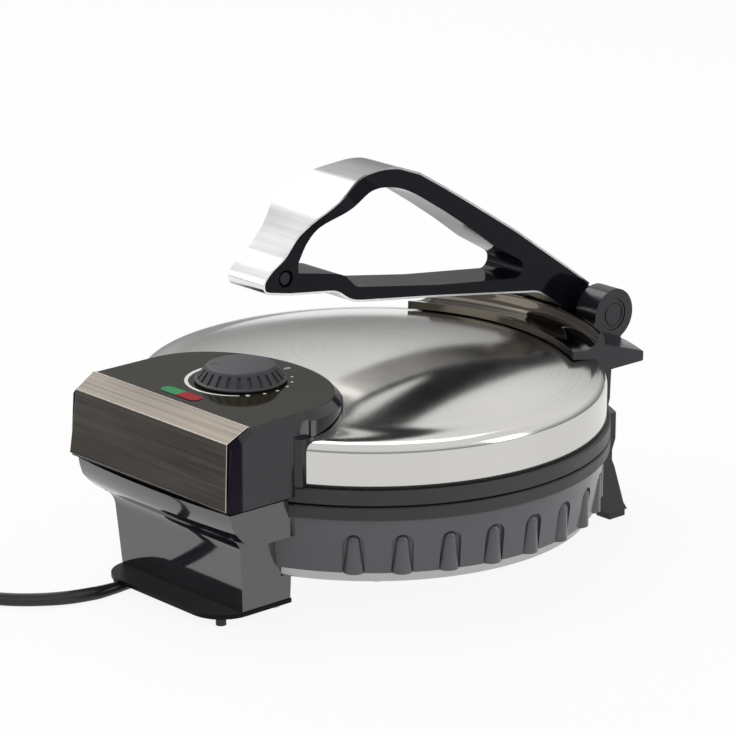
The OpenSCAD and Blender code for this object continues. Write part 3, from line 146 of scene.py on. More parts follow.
floor_reach = 4
floor_glow = 0.9
floor_form = bmesh.new()
bmesh.ops.create_grid(floor_form, x_segments=1, y_segments=1, size=floor_reach)
floor = put_form("floor", floor_form)
paper = bpy.data.materials.new("studio_paper")
paper.use_nodes = True
fibres = paper.node_tree
fibres.nodes.clear()
paper_rays = node(fibres, "ShaderNodeLightPath").outputs
matt = node(fibres, "ShaderNodeBsdfDiffuse", {"Color": (0.93, 0.93, 0.93, 1)})
white = node(fibres, "ShaderNodeEmission", {"Color": (1, 1, 1, 1), "Strength": 1.0})
plain = joined(fibres, "MAXIMUM", paper_rays["Is Camera Ray"], paper_rays["Is Glossy Ray"])
glow = joined(fibres, "MULTIPLY", plain, floor_glow)
cover = node(fibres, "ShaderNodeMixShader", {0: glow, 1: matt.outputs[0], 2: white.outputs[0]})
node(fibres, "ShaderNodeOutputMaterial", {"Surface": cover.outputs[0]})
floor.data.materials.append(paper)


# Power cord: flat twin lead in black PVC, two stranded wires side by side with a groove between
# them. It comes out under the foot plate, turns onto its edge, and its spare length is coiled. It
# ends in a moulded plug with two flat blades.
def roughen(tree, height, depth):
    """Gives a finish a fine relief of some depth."""
    bump = node(tree, "ShaderNodeBump", {"Height": height, "Distance": depth, "Strength": 1.0})
    tree.links.new(bump.outputs[0], tree.nodes["Principled BSDF"].inputs["Normal"])


drift_scale = 23.0
drift_span = (0.3, 0.7)


def finish(name, colour, rough, metal=0.0, ior=None, grain=0.0, depth=0.0, spread=0.06, tint=0.12):
    """A finish with a fine grain in its surface and a slow drift in its colour and gloss."""
    made = bpy.data.materials.new(name)
    made.use_nodes = True
    tree = made.node_tree
    shader = tree.nodes["Principled BSDF"]
    shader.inputs["Metallic"].default_value = metal
    if ior:
        shader.inputs["IOR"].default_value = ior
    spot = node(tree, "ShaderNodeTexCoord").outputs["Object"]
    drift = node(tree, "ShaderNodeTexNoise", {"Vector": spot, "Scale": drift_scale, "Detail": 3.0})
    shade = node(tree, "ShaderNodeMix", {"Factor": drift.outputs["Fac"]}, data_type="RGBA")
    shade.inputs["A"].default_value = (*[c * (1 - tint) for c in colour], 1)
    shade.inputs["B"].default_value = (*[min(1, c * (1 + tint)) for c in colour], 1)
    tree.links.new(shade.outputs["Result"], shader.inputs["Base Color"])
    gloss = carried(tree, drift.outputs["Fac"], drift_span, onto=(rough * (1 - spread), rough * (1 + spread)))
    tree.links.new(gloss, shader.inputs["Roughness"])
    if grain:
        fine = node(tree, "ShaderNodeTexNoise", {"Vector": spot, "Scale": grain, "Detail": 4.0})
        roughen(tree, fine.outputs["Fac"], depth)
    return made


def smooth_line(points, steps):
    """Points of a smooth curve through the given ones."""
    line = []
    last = len(points) - 1
    for i in range(last):
        before, start, end, after = (Vector(points[max(0, min(last, i + k))]) for k in (-1, 0, 1, 2))
        span = (end - start).length
        leave = (end - before) * span / ((start - before).length + span)
        arrive = (after - start) * span / ((after - end).length + span)
        for k in range(steps):
            t = k / steps
            line.append(start * (2 * t**3 - 3 * t**2 + 1) + leave * (t**3 - 2 * t**2 + t)
                        + end * (3 * t**2 - 2 * t**3) + arrive * (t**3 - t**2))
    return line + [Vector(points[-1])]


def ease(share):
    """A smooth step from 0 to 1 while the share goes from 0 to 1."""
    share = max(0, min(1, share))
    return share**2 * (3 - 2 * share)


cord_width = 7.5 * MM
cord_thick = 3.7 * MM
cord_floor = 0.15 * MM
cord_room = 1.05
cord_exit = Vector((-33, -151.1)) * MM
cord_turns = [(-33, -159.1), (-31.5, -173.6), (-31, -182.6), (-35.5, -200.1), (-47, -217.1), (-61, -229.1),
              (-84, -241.1), (-93, -245.6), (-100, -249.1)]
cord_turns = [Vector(p) * MM for p in cord_turns]
curve_steps = 6
first_lean, full_lean = 12, 90
lean_steps = 21


def cord_rise(lean):
    """Height of the cord's middle when it leans by an angle from lying flat."""
    return cord_floor + cord_room * sqrt((cord_width / 2 * sin(lean))**2 + (cord_thick / 2 * cos(lean))**2)


cord_line = []
for i, point in enumerate([cord_exit] + smooth_line(cord_turns[:-1], curve_steps) + [cord_turns[-1]]):
    leant = min(1, max(0, (i - 1) / lean_steps))
    lean = radians(first_lean + (full_lean - first_lean) * leant)
    cord_line.append((point.x, point.y, cord_rise(lean), lean))

# The coil spirals in on the lower layer, climbs where it turns back, and spirals out on top.
upright = radians(full_lean)
coil_radius = 44 * MM
coil_count = 3.25
coil_pitch = 4.8 * MM
coil_climb = 8 * MM
climb_turns = 0.5
turn_steps = 48
away = (cord_turns[-1] - cord_turns[-2]).normalized()
coil_from = atan2(-away.x, away.y)
coil_first = cord_turns[-1] + away * cord_width
coil_middle = coil_first - coil_radius * Vector((cos(coil_from), sin(coil_from)))
for i in range(int(coil_count * turn_steps) + 1):
    turn = i / turn_steps
    past_middle = turn - coil_count / 2
    radius = coil_radius - coil_pitch * (coil_count / 2 - abs(past_middle))
    angle = coil_from + 2 * pi * turn
    rise = cord_rise(upright) + coil_climb * ease(past_middle / climb_turns + 0.5)
    spot = coil_middle + radius * Vector((cos(angle), sin(angle)))
    cord_line.append((spot.x, spot.y, rise, upright))

# The cord's end leaves the coil straight on and sinks to the height of the plug that lies there.
tail_length = 44 * MM
tail_steps = 11
sink_from = 12 * MM
sink_length = 22 * MM
plug_rise = 7.15 * MM
tail_angle = coil_from + 2 * pi * coil_count + pi / 2
tail_way = Vector((cos(tail_angle), sin(tail_angle)))
tail_first = Vector(cord_line[-1][:3])
for i in range(1, tail_steps + 1):
    along = tail_length * i / tail_steps
    rise = tail_first.z + (plug_rise - tail_first.z) * ease((along - sink_from) / sink_length)
    spot = tail_first.xy + along * tail_way
    cord_line.append((spot.x, spot.y, rise, upright))

lobe = cord_thick / 2
lobe_middle = cord_width / 2 - lobe
lobe_open = 128
lobe_step = 16
groove = 0.62 * lobe
half = [(lobe_middle + lobe * cos(radians(a)), lobe * sin(radians(a)))
        for a in range(-lobe_open, lobe_open + 1, lobe_step)]
rim = half + [(0, groove)] + [(-x, -y) for x, y in half] + [(0, -groove)]
section = put("cord_section", bpy.data.curves.new("cord_section", "CURVE"))
section.data.dimensions = "2D"
rim_line = section.data.splines.new("POLY")
rim_line.points.add(len(rim) - 1)
for point, (x, y) in zip(rim_line.points, rim):
    point.co = (x, y, 0, 1)
rim_line.use_cyclic_u = True
sweep = put("cord_sweep", bpy.data.curves.new("cord_sweep", "CURVE"))
sweep.data.dimensions = "3D"
sweep.data.twist_mode = "Z_UP"
sweep.data.bevel_mode = "OBJECT"
sweep.data.bevel_object = section
sweep.data.use_fill_caps = True
run = sweep.data.splines.new("POLY")
run.points.add(len(cord_line) - 1)
for point, (x, y, z, lean) in zip(run.points, cord_line):
    point.co = (x, y, z, 1)
    point.tilt = -lean
bpy.context.view_layer.update()
swept = sweep.evaluated_get(bpy.context.evaluated_depsgraph_get())
power_lead = put("power_lead", bpy.data.meshes.new_from_object(swept))
power_lead.data.name = "power_lead"
for helper in (sweep, section):
    bpy.data.objects.remove(helper)


def round_edges(piece, edge, sharp, segments=3, limit=True, weight=90):
    """Rounds a piece's sharp edges and evens its shading."""
    bevel = piece.modifiers.new("rounded edges", "BEVEL")
    bevel.width = edge
    bevel.segments = segments
    bevel.angle_limit = radians(sharp)
    bevel.profile = 0.5
    bevel.use_clamp_overlap = limit
    even = piece.modifiers.new("even shading", "WEIGHTED_NORMAL")
    even.weight = weight


flat_enough = radians(0.25)


def moulded(part, name, edge, rides="base", sharp=32, merge=0.004 * MM, limit=True):
    """A piece with a part's exact form and its sharp edges rounded, which stands for it."""
    form = bmesh.new()
    form.from_mesh(nodes[part].data)
    bmesh.ops.remove_doubles(form, verts=form.verts, dist=merge)
    bmesh.ops.dissolve_limit(form, angle_limit=flat_enough, verts=form.verts, edges=form.edges)
    piece = put_form(name, form, smooth=True)
    round_edges(piece, edge, sharp, limit=limit)
    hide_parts(part)
    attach(piece, rides)
    return piece


def dress(piece, material):
    """Gives a piece its finish, and a new piece its material slot."""
    piece.data.materials.clear()
    piece.data.materials.append(material)


cord_pvc = finish("cord_pvc", (0.018, 0.018, 0.02), rough=0.34, grain=900, depth=0.04 * MM)
plated_brass = finish("plated_brass", (0.72, 0.68, 0.5), rough=0.25, metal=1, grain=700, depth=0.02 * MM)
plug = moulded("plug_body", "mains_plug", 1.2 * MM)
blades = nodes["plug_blades"]
dress(plug, cord_pvc)
dress(blades, plated_brass)
dress(nodes["cord_strain_relief"], cord_pvc)
dress(power_lead, cord_pvc)
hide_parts("power_cord", "cord_coil")
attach(power_lead, "base")

# Base ring: glossy dark-grey plastic moulding, tapered, with round-topped ribs all round. Lugs on
# its inside carry the lower plate and the pan.
ring_plastic = finish("ring_plastic", (0.105, 0.106, 0.117), rough=0.24, grain=1400, depth=0.02 * MM)
dress(moulded("base_ring", "ribbed_ring", 0.9 * MM), ring_plastic)

# Base pan: thin sheet steel with a plain grey face, pressed to a shallow dish. It closes the ring
# from below and is held by screws into the ring's lugs.
pan_sheet = finish("pan_sheet", (0.44, 0.44, 0.43), rough=0.35, metal=1, grain=300, depth=0.03 * MM)
dress(moulded("base_pan", "pressed_pan", 0.3 * MM), pan_sheet)

# Cooking plates: two cast aluminium discs with a dark speckled non-stick coat. Their rims show as
# two bands between the ring and the lid.
plate_coat = finish("plate_coat", (0.030, 0.027, 0.030), rough=0.5, grain=750, depth=0.3 * MM, spread=0.2,
                    tint=0.35)
dress(moulded("lower_plate", "lower_cooking_plate", 0.7 * MM), plate_coat)
dress(moulded("upper_plate", "upper_cooking_plate", 0.7 * MM, "lid"), plate_coat)

# Front housing: one glossy black moulding in front of the ring, a bowed bowl that runs into a
# narrower pedestal. The cord's wires end inside it.
gloss_black = finish("gloss_black", (0.010, 0.010, 0.014), rough=0.07, ior=2.0, grain=60, depth=0.03 * MM,
                     tint=0.8)
dress(moulded("front_housing", "bowl_and_pedestal", 0.9 * MM), gloss_black)

# Foot plate: shallow matt black tray with round front corners, screwed under the pedestal. It
# stands on two rubber pads.
foot_matt = finish("foot_matt", (0.009, 0.008, 0.007), rough=0.34, grain=1800, depth=0.03 * MM)
foot_matt.node_tree.nodes["Principled BSDF"].inputs["Specular IOR Level"].default_value = 0.08
dress(moulded("foot_plate", "foot_tray", 0.7 * MM), foot_matt)

# Rear bracket: charcoal moulding screwed to the ring's back, with two splayed legs and the towers
# that carry the lid's hinge pin.
charcoal = finish("charcoal", (0.018, 0.0165, 0.022), rough=0.2, ior=1.4, grain=1400, depth=0.02 * MM)
dress(moulded("rear_bracket", "rear_legs", 0.8 * MM), charcoal)

# Lid: one sheet of stainless steel, spun to a shallow dome with a rolled shoulder and an upright
# wall. It was brushed while it turned, so fine rings lie round its middle and spread reflections.
# Screws through its wall hold it to the upper plate.
lid_low, lid_high = (Vector(corner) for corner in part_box("lid_cover"))
lid_radius = (lid_high.x - lid_low.x) / 2
lid_roll = 6.3 * MM
lid_sheet = 0.8 * MM
dome_rise = 15.9 * MM
dome_inset = 3 * MM
crown = lid_high.z
roll_middle = Vector((lid_radius - lid_roll, 0, crown - dome_rise - lid_roll))
dome_edge = roll_middle.x - dome_inset
dome_sphere = (dome_edge**2 + dome_rise**2) / (2 * dome_rise)


def dome_height(out):
    """Height of the dome's round at a distance from the middle."""
    return crown - dome_sphere + sqrt(dome_sphere**2 - out**2)


# Outside the rear hood's front edge the dome flattens a little, to run evenly into the shoulder.
flatten_from = 114 * MM
roll_span = 75
roll_step = 5
roll_end = roll_middle + lid_roll * Vector((cos(radians(roll_span)), 0, sin(radians(roll_span))))
flatten_rise = roll_end.z - dome_height(roll_end.x)
wall_rows = 6
dome_rows = 60
side_line = [Vector((lid_radius, 0, lid_low.z + (roll_middle.z - lid_low.z) * i / wall_rows))
             for i in range(wall_rows)]
side_line += [roll_middle + lid_roll * Vector((cos(radians(a)), 0, sin(radians(a))))
              for a in range(0, roll_span, roll_step)]
for i in range(dome_rows + 1):
    out = roll_end.x * (1 - i / dome_rows)
    flattened = ease((out - flatten_from) / (roll_end.x - flatten_from))
    side_line.append(Vector((out, 0, dome_height(out) + flatten_rise * flattened)))


def drawn(points):
    """A new mesh with one line of edges through the points."""
    form = bmesh.new()
    verts = [form.verts.new(point) for point in points]
    for a, b in zip(verts, verts[1:]):
        form.edges.new((a, b))
    return form


def turn_line(form, steps, angle=2 * pi):
    """Spins a drawn line about the upright axis, and closes it after a full turn."""
    bmesh.ops.spin(form, geom=form.verts[:] + form.edges[:], cent=(0, 0, 0), axis=(0, 0, 1), angle=angle,
                   steps=steps, use_merge=angle == 2 * pi)


lid_steps = 180
lid_form = drawn(side_line)
turn_line(lid_form, lid_steps)
bmesh.ops.remove_doubles(lid_form, verts=lid_form.verts, dist=0.02 * MM)
bmesh.ops.translate(lid_form, verts=lid_form.verts, vec=plate_centre)
bmesh.ops.recalc_face_normals(lid_form, faces=lid_form.faces)
brush_way = lid_form.loops.layers.uv.new("brush_way")
for face in lid_form.faces:
    face_arm = face.calc_center_median() - plate_centre
    face_turn = atan2(face_arm.y, face_arm.x)
    for corner in face.loops:
        arm = corner.vert.co - plate_centre
        corner_turn = atan2(arm.y, arm.x) if arm.xy.length > MM else face_turn
        corner_turn += 2 * pi * round((face_turn - corner_turn) / (2 * pi))
        corner[brush_way].uv = (corner_turn / (2 * pi), arm.xy.length / lid_radius)
lid_dome = put_form("lid_dome", lid_form, smooth=True)
lid_wall = lid_dome.modifiers.new("sheet", "SOLIDIFY")
lid_wall.thickness = lid_sheet
lid_wall.offset = -1
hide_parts("lid_cover")
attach(lid_dome, "lid")


def drawn_noise(tree, place, stretch, detail):
    """Noise whose grain is drawn out along an axis."""
    turned = node(tree, "ShaderNodeMapping", {"Vector": place, "Scale": stretch}).outputs[0]
    return node(tree, "ShaderNodeTexNoise", {"Vector": turned, "Scale": 1.0, "Detail": detail}).outputs["Fac"]


def shade_by(tree, factor):
    """Multiplies a finish's colour by a value that changes over the surface."""
    colour = tree.nodes["Principled BSDF"].inputs["Base Color"]
    shaded = node(tree, "ShaderNodeVectorMath", {0: colour.links[0].from_socket, 1: factor},
                  operation="MULTIPLY")
    tree.links.new(shaded.outputs[0], colour)


lid_steel = finish("lid_steel", (0.62, 0.61, 0.585), rough=0.15, metal=1, spread=0.1, tint=0.03)
lid_tree = lid_steel.node_tree
lid_shader = lid_tree.nodes["Principled BSDF"]
lid_shader.inputs["Anisotropic"].default_value = 0.5
way = node(lid_tree, "ShaderNodeTangent", direction_type="UV_MAP", uv_map="brush_way")
lid_tree.links.new(way.outputs[0], lid_shader.inputs["Tangent"])
round_way = node(lid_tree, "ShaderNodeTexCoord").outputs["UV"]
scratches = drawn_noise(lid_tree, round_way, stretch=(5, 260, 1), detail=5.0)
roughen(lid_tree, scratches, 0.01 * MM)
shade_by(lid_tree, carried(lid_tree, scratches, span=(0.35, 0.65), onto=(0.94, 1.04)))
dress(lid_dome, lid_steel)

# Control housing on the lid: glossy black shell, closed on top by the dial panel. At the front of
# each side slope, where distance from the middle and height add up to the same sum, a sliver of
# wall stands off it and is laid back onto the slope.
shell = moulded("control_shell", "control_housing", 0.16 * MM, "lid", limit=False)
slope_sum = 183.2 * MM
slope_slack = 0.05 * MM
sliver_front, sliver_back = -151 * MM, -150.4 * MM
shell_form = bmesh.new()
shell_form.from_mesh(shell.data)
slivers = [vert for vert in shell_form.verts if sliver_front < vert.co.y < sliver_back
           and abs(vert.co.x) + vert.co.z > slope_sum - slope_slack]
for vert in slivers:
    vert.co.x = copysign(slope_sum - vert.co.z, vert.co.x)
bmesh.ops.remove_doubles(shell_form, verts=slivers, dist=0.3 * MM)
bmesh.ops.dissolve_limit(shell_form, angle_limit=radians(0.5), verts=shell_form.verts, edges=shell_form.edges)
bmesh.ops.recalc_face_normals(shell_form, faces=shell_form.faces)
shell_form.to_mesh(shell.data)
shell_form.free()

# At the shell's front edges, beside the trim, the gloss is turned into black metal that mirrors almost
# nothing: a painted dark reflection.
painted_dark_front, painted_dark_back = -159.2 * MM, -157.2 * MM
shell_black = finish("shell_black", (0.012, 0.010, 0.016), rough=0.10, grain=50, depth=0.04 * MM, tint=0.9)
shell_tree = shell_black.node_tree
shell_spot = node(shell_tree, "ShaderNodeTexCoord").outputs["Object"]
shell_depth = node(shell_tree, "ShaderNodeSeparateXYZ", {0: shell_spot}).outputs["Y"]
# Painted dark reflection: towards the front edges the black gloss turns metallic and mirrors almost nothing.
painted_dark_reflection = carried(shell_tree, shell_depth, span=(painted_dark_front, painted_dark_back), onto=(1, 0),
               interpolation_type="SMOOTHSTEP")
shell_tree.links.new(painted_dark_reflection, shell_tree.nodes["Principled BSDF"].inputs["Metallic"])
dress(shell, shell_black)
panel_gloss = finish("panel_gloss", (0.022, 0.020, 0.012), rough=0.07, ior=1.13)
dress(moulded("dial_panel", "dial_plate", 0.25 * MM, "lid"), panel_gloss)

# Front trim: a strip of smoked steel, brushed lengthways and folded over the shell's front. Its upper
# leaf is painted lighter, a painted highlight where it faces up to the light, and its rounded edges
# get a lighter bare-metal colour, a painted edge highlight.
fold_height = 109.8 * MM
fold_blur = 0.3 * MM
smoked_steel = finish("smoked_steel", (0.056, 0.049, 0.043), rough=0.24, metal=1, tint=0)
smoke_tree = smoked_steel.node_tree
smoke_colour = smoke_tree.nodes["Principled BSDF"].inputs["Base Color"]
smoke_spot = node(smoke_tree, "ShaderNodeTexCoord").outputs["Object"]
smoke_height = node(smoke_tree, "ShaderNodeSeparateXYZ", {0: smoke_spot}).outputs["Z"]
# Painted highlight: the upper leaf, above the fold, gets a lighter colour where it faces up to the light.
lit_leaf_mask = carried(smoke_tree, smoke_height, span=(fold_height - fold_blur, fold_height + fold_blur),
                  onto=(0, 1))
painted_lit_leaf = node(smoke_tree, "ShaderNodeMix", {"Factor": lit_leaf_mask}, data_type="RGBA")
smoke_tree.links.new(smoke_colour.links[0].from_socket, painted_lit_leaf.inputs["A"])
painted_lit_leaf.inputs["B"].default_value = (0.115, 0.100, 0.084, 1)
smoke_tree.links.new(painted_lit_leaf.outputs["Result"], smoke_colour)
brushing = drawn_noise(smoke_tree, smoke_spot, stretch=(7, 700, 700), detail=4.0)
smears = drawn_noise(smoke_tree, smoke_spot, stretch=(9, 9, 60), detail=2.0)
uneven = joined(smoke_tree, "ADD", brushing, smears)
shade_by(smoke_tree, carried(smoke_tree, uneven, span=(0.75, 1.25), onto=(0.68, 1.32)))
trim = moulded("front_trim", "front_trim_sheet", 0.35 * MM, "lid", merge=0.2 * MM, limit=False)
dress(trim, smoked_steel)
# Painted edge highlight: the rounded edges get a lighter metal colour of their own.
trim.data.materials.append(finish("painted_edge_highlight", (0.42, 0.38, 0.33), rough=0.25, metal=1, tint=0.2))
trim.modifiers["rounded edges"].material = trim.data.materials.find("painted_edge_highlight")

# Lamp window: one rounded lens of coloured plastic, half green and half red, pressed into the
# panel in front of the dial. Its pebbled face spreads the lamps' light.
pebbles = {"grain": 420, "depth": 0.4 * MM, "tint": 0.4}
green_glass = finish("green_glass", (0.035, 0.25, 0.09), rough=0.10, ior=1.12, **pebbles)
red_glass = finish("red_glass", (0.30, 0.004, 0.010), rough=0.10, ior=1.12, **pebbles)
dress(moulded("green_lens", "green_lamp_lens", 0.3 * MM, "lid"), green_glass)
dress(moulded("red_lens", "red_lamp_lens", 0.3 * MM, "lid"), red_glass)

# Dial scale: white print on the panel round the knob. It is a tapering sweep, six dots and a
# nought, as a thin film of ink on the panel's face.
scale_middle = Vector((-1.6, -100.6)) * MM
scale_radius = 29.4 * MM
panel_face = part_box("dial_panel")[1][2]
print_film = 0.05 * MM
sweep_wide, sweep_thin = 2.6 * MM, 1.1 * MM
sweep_from, sweep_to = radians(172), radians(320)
sweep_steps = 60
print_form = drawn([(scale_radius + side * sweep_wide / 2, 0, 0) for side in (-1, 1)])
bmesh.ops.rotate(print_form, verts=print_form.verts, cent=(0, 0, 0),
                 matrix=Matrix.Rotation(sweep_from, 3, "Z"))
turn_line(print_form, sweep_steps, sweep_to - sweep_from)
for vert in print_form.verts:
    turned = (atan2(vert.co.y, vert.co.x) - sweep_from) % (2 * pi)
    width = sweep_wide + (sweep_thin - sweep_wide) * turned / (sweep_to - sweep_from)
    out = scale_radius + (vert.co.length - scale_radius) * width / sweep_wide
    vert.co *= out / vert.co.length
dot_angles_and_radii = ((329, 1.25), (348, 1.0), (5, 1.0), (23, 0.95), (40, 0.9), (59, 0.9))
for angle, radius in dot_angles_and_radii:
    place = Matrix.Translation(scale_radius * Vector((cos(radians(angle)), sin(radians(angle)), 0)))
    bmesh.ops.create_circle(print_form, cap_ends=True, segments=20, radius=radius * MM, matrix=place)
nought_place = Vector((1.5, 33.4, 0)) * MM
nought_lean = radians(-4)
nought_halves = ((1.25, 2.1), (0.65, 1.45))
nought = Matrix.Translation(nought_place) @ Matrix.Rotation(nought_lean, 4, "Z")
nought_rims = []
for half_width, half_height in nought_halves:
    oval = nought @ Matrix.Diagonal((half_width * MM, half_height * MM, 1, 1))
    nought_rims.append(bmesh.ops.create_circle(print_form, segments=28, radius=1, matrix=oval)["verts"])
rim_edges = [edge for edge in print_form.edges if any(set(edge.verts) <= set(rim) for rim in nought_rims)]
bmesh.ops.bridge_loops(print_form, edges=rim_edges)
bmesh.ops.recalc_face_normals(print_form, faces=print_form.faces)
for face in print_form.faces:
    if face.normal.z < 0:
        face.normal_flip()
raised = bmesh.ops.extrude_face_region(print_form, geom=print_form.faces[:])["geom"]
bmesh.ops.translate(print_form, verts=[v for v in raised if isinstance(v, bmesh.types.BMVert)],
                    vec=(0, 0, print_film))
bmesh.ops.recalc_face_normals(print_form, faces=print_form.faces)
bmesh.ops.translate(print_form, verts=print_form.verts, vec=(scale_middle.x, scale_middle.y, panel_face))
dial_scale = put_form("dial_scale", print_form)
scale_print = finish("scale_print", (0.80, 0.80, 0.78), rough=0.5, grain=2500, depth=0.01 * MM, tint=0.04)
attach(dial_scale, "lid")
dress(dial_scale, scale_print)

# Dial knob: matt dark plastic, pushed onto the dial's shaft. Sunk flutes stand round it between a
# thin plain skirt and a rounded shoulder.
knob_low, knob_high = (Vector(corner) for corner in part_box("dial_knob"))
knob_axis = (knob_low + knob_high) / 2
knob_height = knob_high.z - knob_low.z
skirt_radius = (knob_high.x - knob_low.x) / 2
skirt_height = 1.7 * MM
skirt_round = 0.5 * MM
foot_inset = 2.2 * MM
foot_round, foot_lift = 0.9 * MM, 0.8 * MM
top_radius = 20 * MM
cone_start = (skirt_radius - 1.2 * MM, skirt_height + 0.2 * MM)
cone_end = (top_radius + 0.3 * MM, knob_height - 2.2 * MM)
shoulder = 2.7 * MM
shoulder_out, shoulder_up = top_radius - 2.6 * MM, knob_height - 3 * MM
top_sinks = ((0.75, 0.14 * MM), (0.4, 0.03 * MM), (0, 0))
knob_line = [(skirt_radius - foot_inset, 0), (skirt_radius - foot_round, 0), (skirt_radius, foot_lift)]
knob_line += [(skirt_radius, skirt_height - skirt_round), (skirt_radius - skirt_round, skirt_height)]
knob_line += [cone_start, cone_end]
knob_line += [(shoulder_out + shoulder * cos(radians(a)), shoulder_up + shoulder * sin(radians(a)))
              for a in (30, 45, 60, 75)]
knob_line += [(top_radius * share, knob_height - sink) for share, sink in top_sinks]
flute_count = 24
flute_steps = 6
groove_steps = 2
flute_depth = 1.3 * MM
knob_form = drawn([(out, 0, up) for out, up in knob_line])
turn_line(knob_form, flute_count * flute_steps)
bmesh.ops.remove_doubles(knob_form, verts=knob_form.verts, dist=0.01 * MM)
bmesh.ops.recalc_face_normals(knob_form, faces=knob_form.faces)
grooves = []
for face in knob_form.faces:
    middle = face.calc_center_median()
    column = int((atan2(middle.y, middle.x) % (2 * pi)) / (2 * pi) * flute_count * flute_steps)
    on_cone = cone_start[1] < middle.z < cone_end[1] and middle.xy.length > top_radius
    if on_cone and column % flute_steps < groove_steps:
        grooves.append(face)
sunk = bmesh.ops.extrude_face_region(knob_form, geom=grooves)["geom"]
bmesh.ops.delete(knob_form, geom=grooves, context="FACES_ONLY")
for vert in sunk:
    if isinstance(vert, bmesh.types.BMVert):
        vert.co -= Vector((vert.co.x, vert.co.y, 0)).normalized() * flute_depth
low_rim = [edge for edge in knob_form.edges if edge.is_boundary]
bmesh.ops.edgeloop_fill(knob_form, edges=low_rim)
bmesh.ops.recalc_face_normals(knob_form, faces=knob_form.faces)
bmesh.ops.translate(knob_form, verts=knob_form.verts, vec=(knob_axis.x, knob_axis.y, knob_low.z))
fluted_knob = put_form("fluted_knob", knob_form, smooth=True)
round_edges(fluted_knob, 0.25 * MM, sharp=35, segments=2, weight=80)
knob_matt = finish("knob_matt", (0.050, 0.047, 0.054), rough=0.42, ior=1.35, grain=1500, depth=0.03 * MM,
                   tint=0.2)
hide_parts("dial_knob")
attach(fluted_knob, "knob")
dress(fluted_knob, knob_matt)

# Pointer dash: a short black bar set into the knob's top near its edge, a hair proud of it. It
# shows how far the dial is turned.
dash_length, dash_width, dash_thick = 4.7 * MM, 0.8 * MM, 0.3 * MM
dash_sunk = 0.1 * MM
dash_turn = Matrix.Rotation(radians(229), 4, "Z")
dash_out = Matrix.Translation((14.2 * MM, 0, 0))
dash_place = Matrix.Translation((knob_axis.x, knob_axis.y, knob_high.z - dash_sunk)) @ dash_turn @ dash_out
dash_size = Matrix.Diagonal((dash_length, dash_width, dash_thick, 1))
dash_form = bmesh.new()
bmesh.ops.create_cube(dash_form, size=1, matrix=dash_place @ dash_size)
bmesh.ops.bevel(dash_form, geom=dash_form.edges[:], offset=0.1 * MM, segments=2, profile=0.5, affect="EDGES",
                material=-1)
pointer_dash = put_form("pointer_dash", dash_form)
dash_black = finish("dash_black", (0.012, 0.011, 0.013), rough=0.4, grain=1500, depth=0.03 * MM)
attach(pointer_dash, "knob")
dress(pointer_dash, dash_black)

# Rear hood: charcoal moulding screwed to the lid's back wall, which carries the hinge knuckle and
# the ears of the handle's pivot. A dark chrome cover closes its top, and caps close the ears.
dress(moulded("rear_hood", "hood_moulding", 0.6 * MM, "lid"), charcoal)
dark_chrome = finish("dark_chrome", (0.065, 0.057, 0.047), rough=0.08, metal=1, grain=40, depth=0.02 * MM)
dress(moulded("hood_cover", "chrome_hood_cover", 0.4 * MM, "lid"), dark_chrome)
dress(moulded("pivot_caps", "ear_caps", 0.3 * MM, "lid"), charcoal)

# Handle: glossy black core with a polished aluminium band wrapped over it. The band widens at the
# grip and has fine wisps in its polish; its high and rear stretches are painted darker, a painted dark
# reflection.
core_gloss = finish("core_gloss", (0.006, 0.0048, 0.009), rough=0.10, ior=1.2, grain=60, depth=0.03 * MM)
dress(moulded("handle_frame", "handle_core", 0.9 * MM, "handle"), core_gloss)
band_metal = finish("band_metal", (0.78, 0.78, 0.79), rough=0.2, metal=1, tint=0.05)
band_tree = band_metal.node_tree
band_spot = node(band_tree, "ShaderNodeTexCoord").outputs["Object"]
band_place = node(band_tree, "ShaderNodeSeparateXYZ", {0: band_spot}).outputs
wisps = drawn_noise(band_tree, band_spot, stretch=(6, 260, 260), detail=4.0)
clouds = drawn_noise(band_tree, band_spot, stretch=(16, 50, 50), detail=2.0)
patchy = carried(band_tree, joined(band_tree, "ADD", wisps, clouds), span=(0.8, 1.2), onto=(0.86, 1.1))
# Painted dark reflection: the band's colour is darkened towards its top and towards its rear.
high_painted_dark = carried(band_tree, band_place["Z"], span=(195 * MM, 217 * MM), onto=(1, 0.52))
rear_painted_dark = carried(band_tree, band_place["Y"], span=(-20 * MM, 40 * MM), onto=(1, 0.66))
band_painted_reflection = joined(band_tree, "MINIMUM", high_painted_dark, rear_painted_dark)
shade_by(band_tree, joined(band_tree, "MULTIPLY", band_painted_reflection, patchy))
band = moulded("handle_band", "handle_band_sheet", 0.25 * MM, "handle", sharp=60)
dress(band, band_metal)

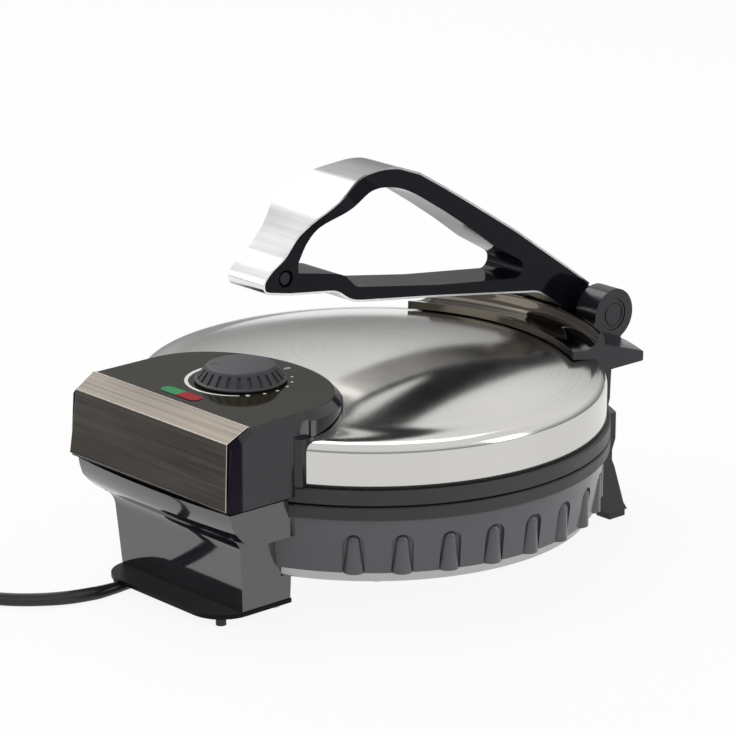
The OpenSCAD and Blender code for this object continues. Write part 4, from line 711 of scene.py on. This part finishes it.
# Handle screws: dark steel, turned in from both sides of the handle's nose. Each lies sunk in a
# round recess of the core.
dark_steel = finish("dark_steel", (0.035, 0.032, 0.04), rough=0.35, metal=1, grain=900, depth=0.02 * MM)
dress(nodes["handle_screws"], dark_steel)

# Screws, pins, the dial's shaft and the thermostat's body: bright zinc-plated steel, turned, rolled
# or pressed. They hold the pieces together and hardly show.
zinc_steel = finish("zinc_steel", (0.55, 0.55, 0.56), rough=0.32, metal=1, grain=700, depth=0.02 * MM)
for name in ("plate_screws", "pan_screws", "foot_screws", "bracket_screws", "lid_screws", "lid_hinge_pin",
             "handle_pivot_pin", "dial_shaft", "thermostat"):
    dress(nodes[name], zinc_steel)

# Heating elements: steel tube bent to a ring behind each plate. It has turned brown with heat, and
# so has the thermal fuse in its clip below the lower plate.
element_brown = finish("element_brown", (0.14, 0.115, 0.10), rough=0.45, metal=1, grain=500, depth=0.03 * MM,
                       tint=0.3)
for name in ("lower_heating_element", "upper_heating_element", "thermal_fuse"):
    dress(nodes[name], element_brown)

# Hidden mouldings in plain black plastic: the cover plate that closes the front housing under the
# raised lid, and the lamp holder below the window.
inner_black = finish("inner_black", (0.020, 0.019, 0.021), rough=0.42, grain=1300, depth=0.03 * MM)
for name in ("housing_cover", "lamp_holder"):
    dress(nodes[name], inner_black)

# Terminal block: pressed ceramic with a slightly rough, unglazed face. It stands on two posts of
# the foot plate, inside the pedestal.
ceramic = finish("ceramic", (0.70, 0.66, 0.56), rough=0.55, grain=800, depth=0.05 * MM)
dress(nodes["terminal_block"], ceramic)

# Rubber feet: soft black pads pressed into the foot plate and the rear legs. They keep the press
# from sliding.
rubber = finish("rubber", (0.018, 0.018, 0.019), rough=0.62, grain=1600, depth=0.05 * MM)
for name in ("front_feet", "rear_feet"):
    dress(nodes[name], rubber)

# Indicator lamps: two small neon tubes of amber glass, which stand in the lamp holder under the
# green and the red half of the lens.
amber_glass = finish("amber_glass", (0.60, 0.26, 0.08), rough=0.12, tint=0.05)
dress(nodes["indicator_lamps"], amber_glass)
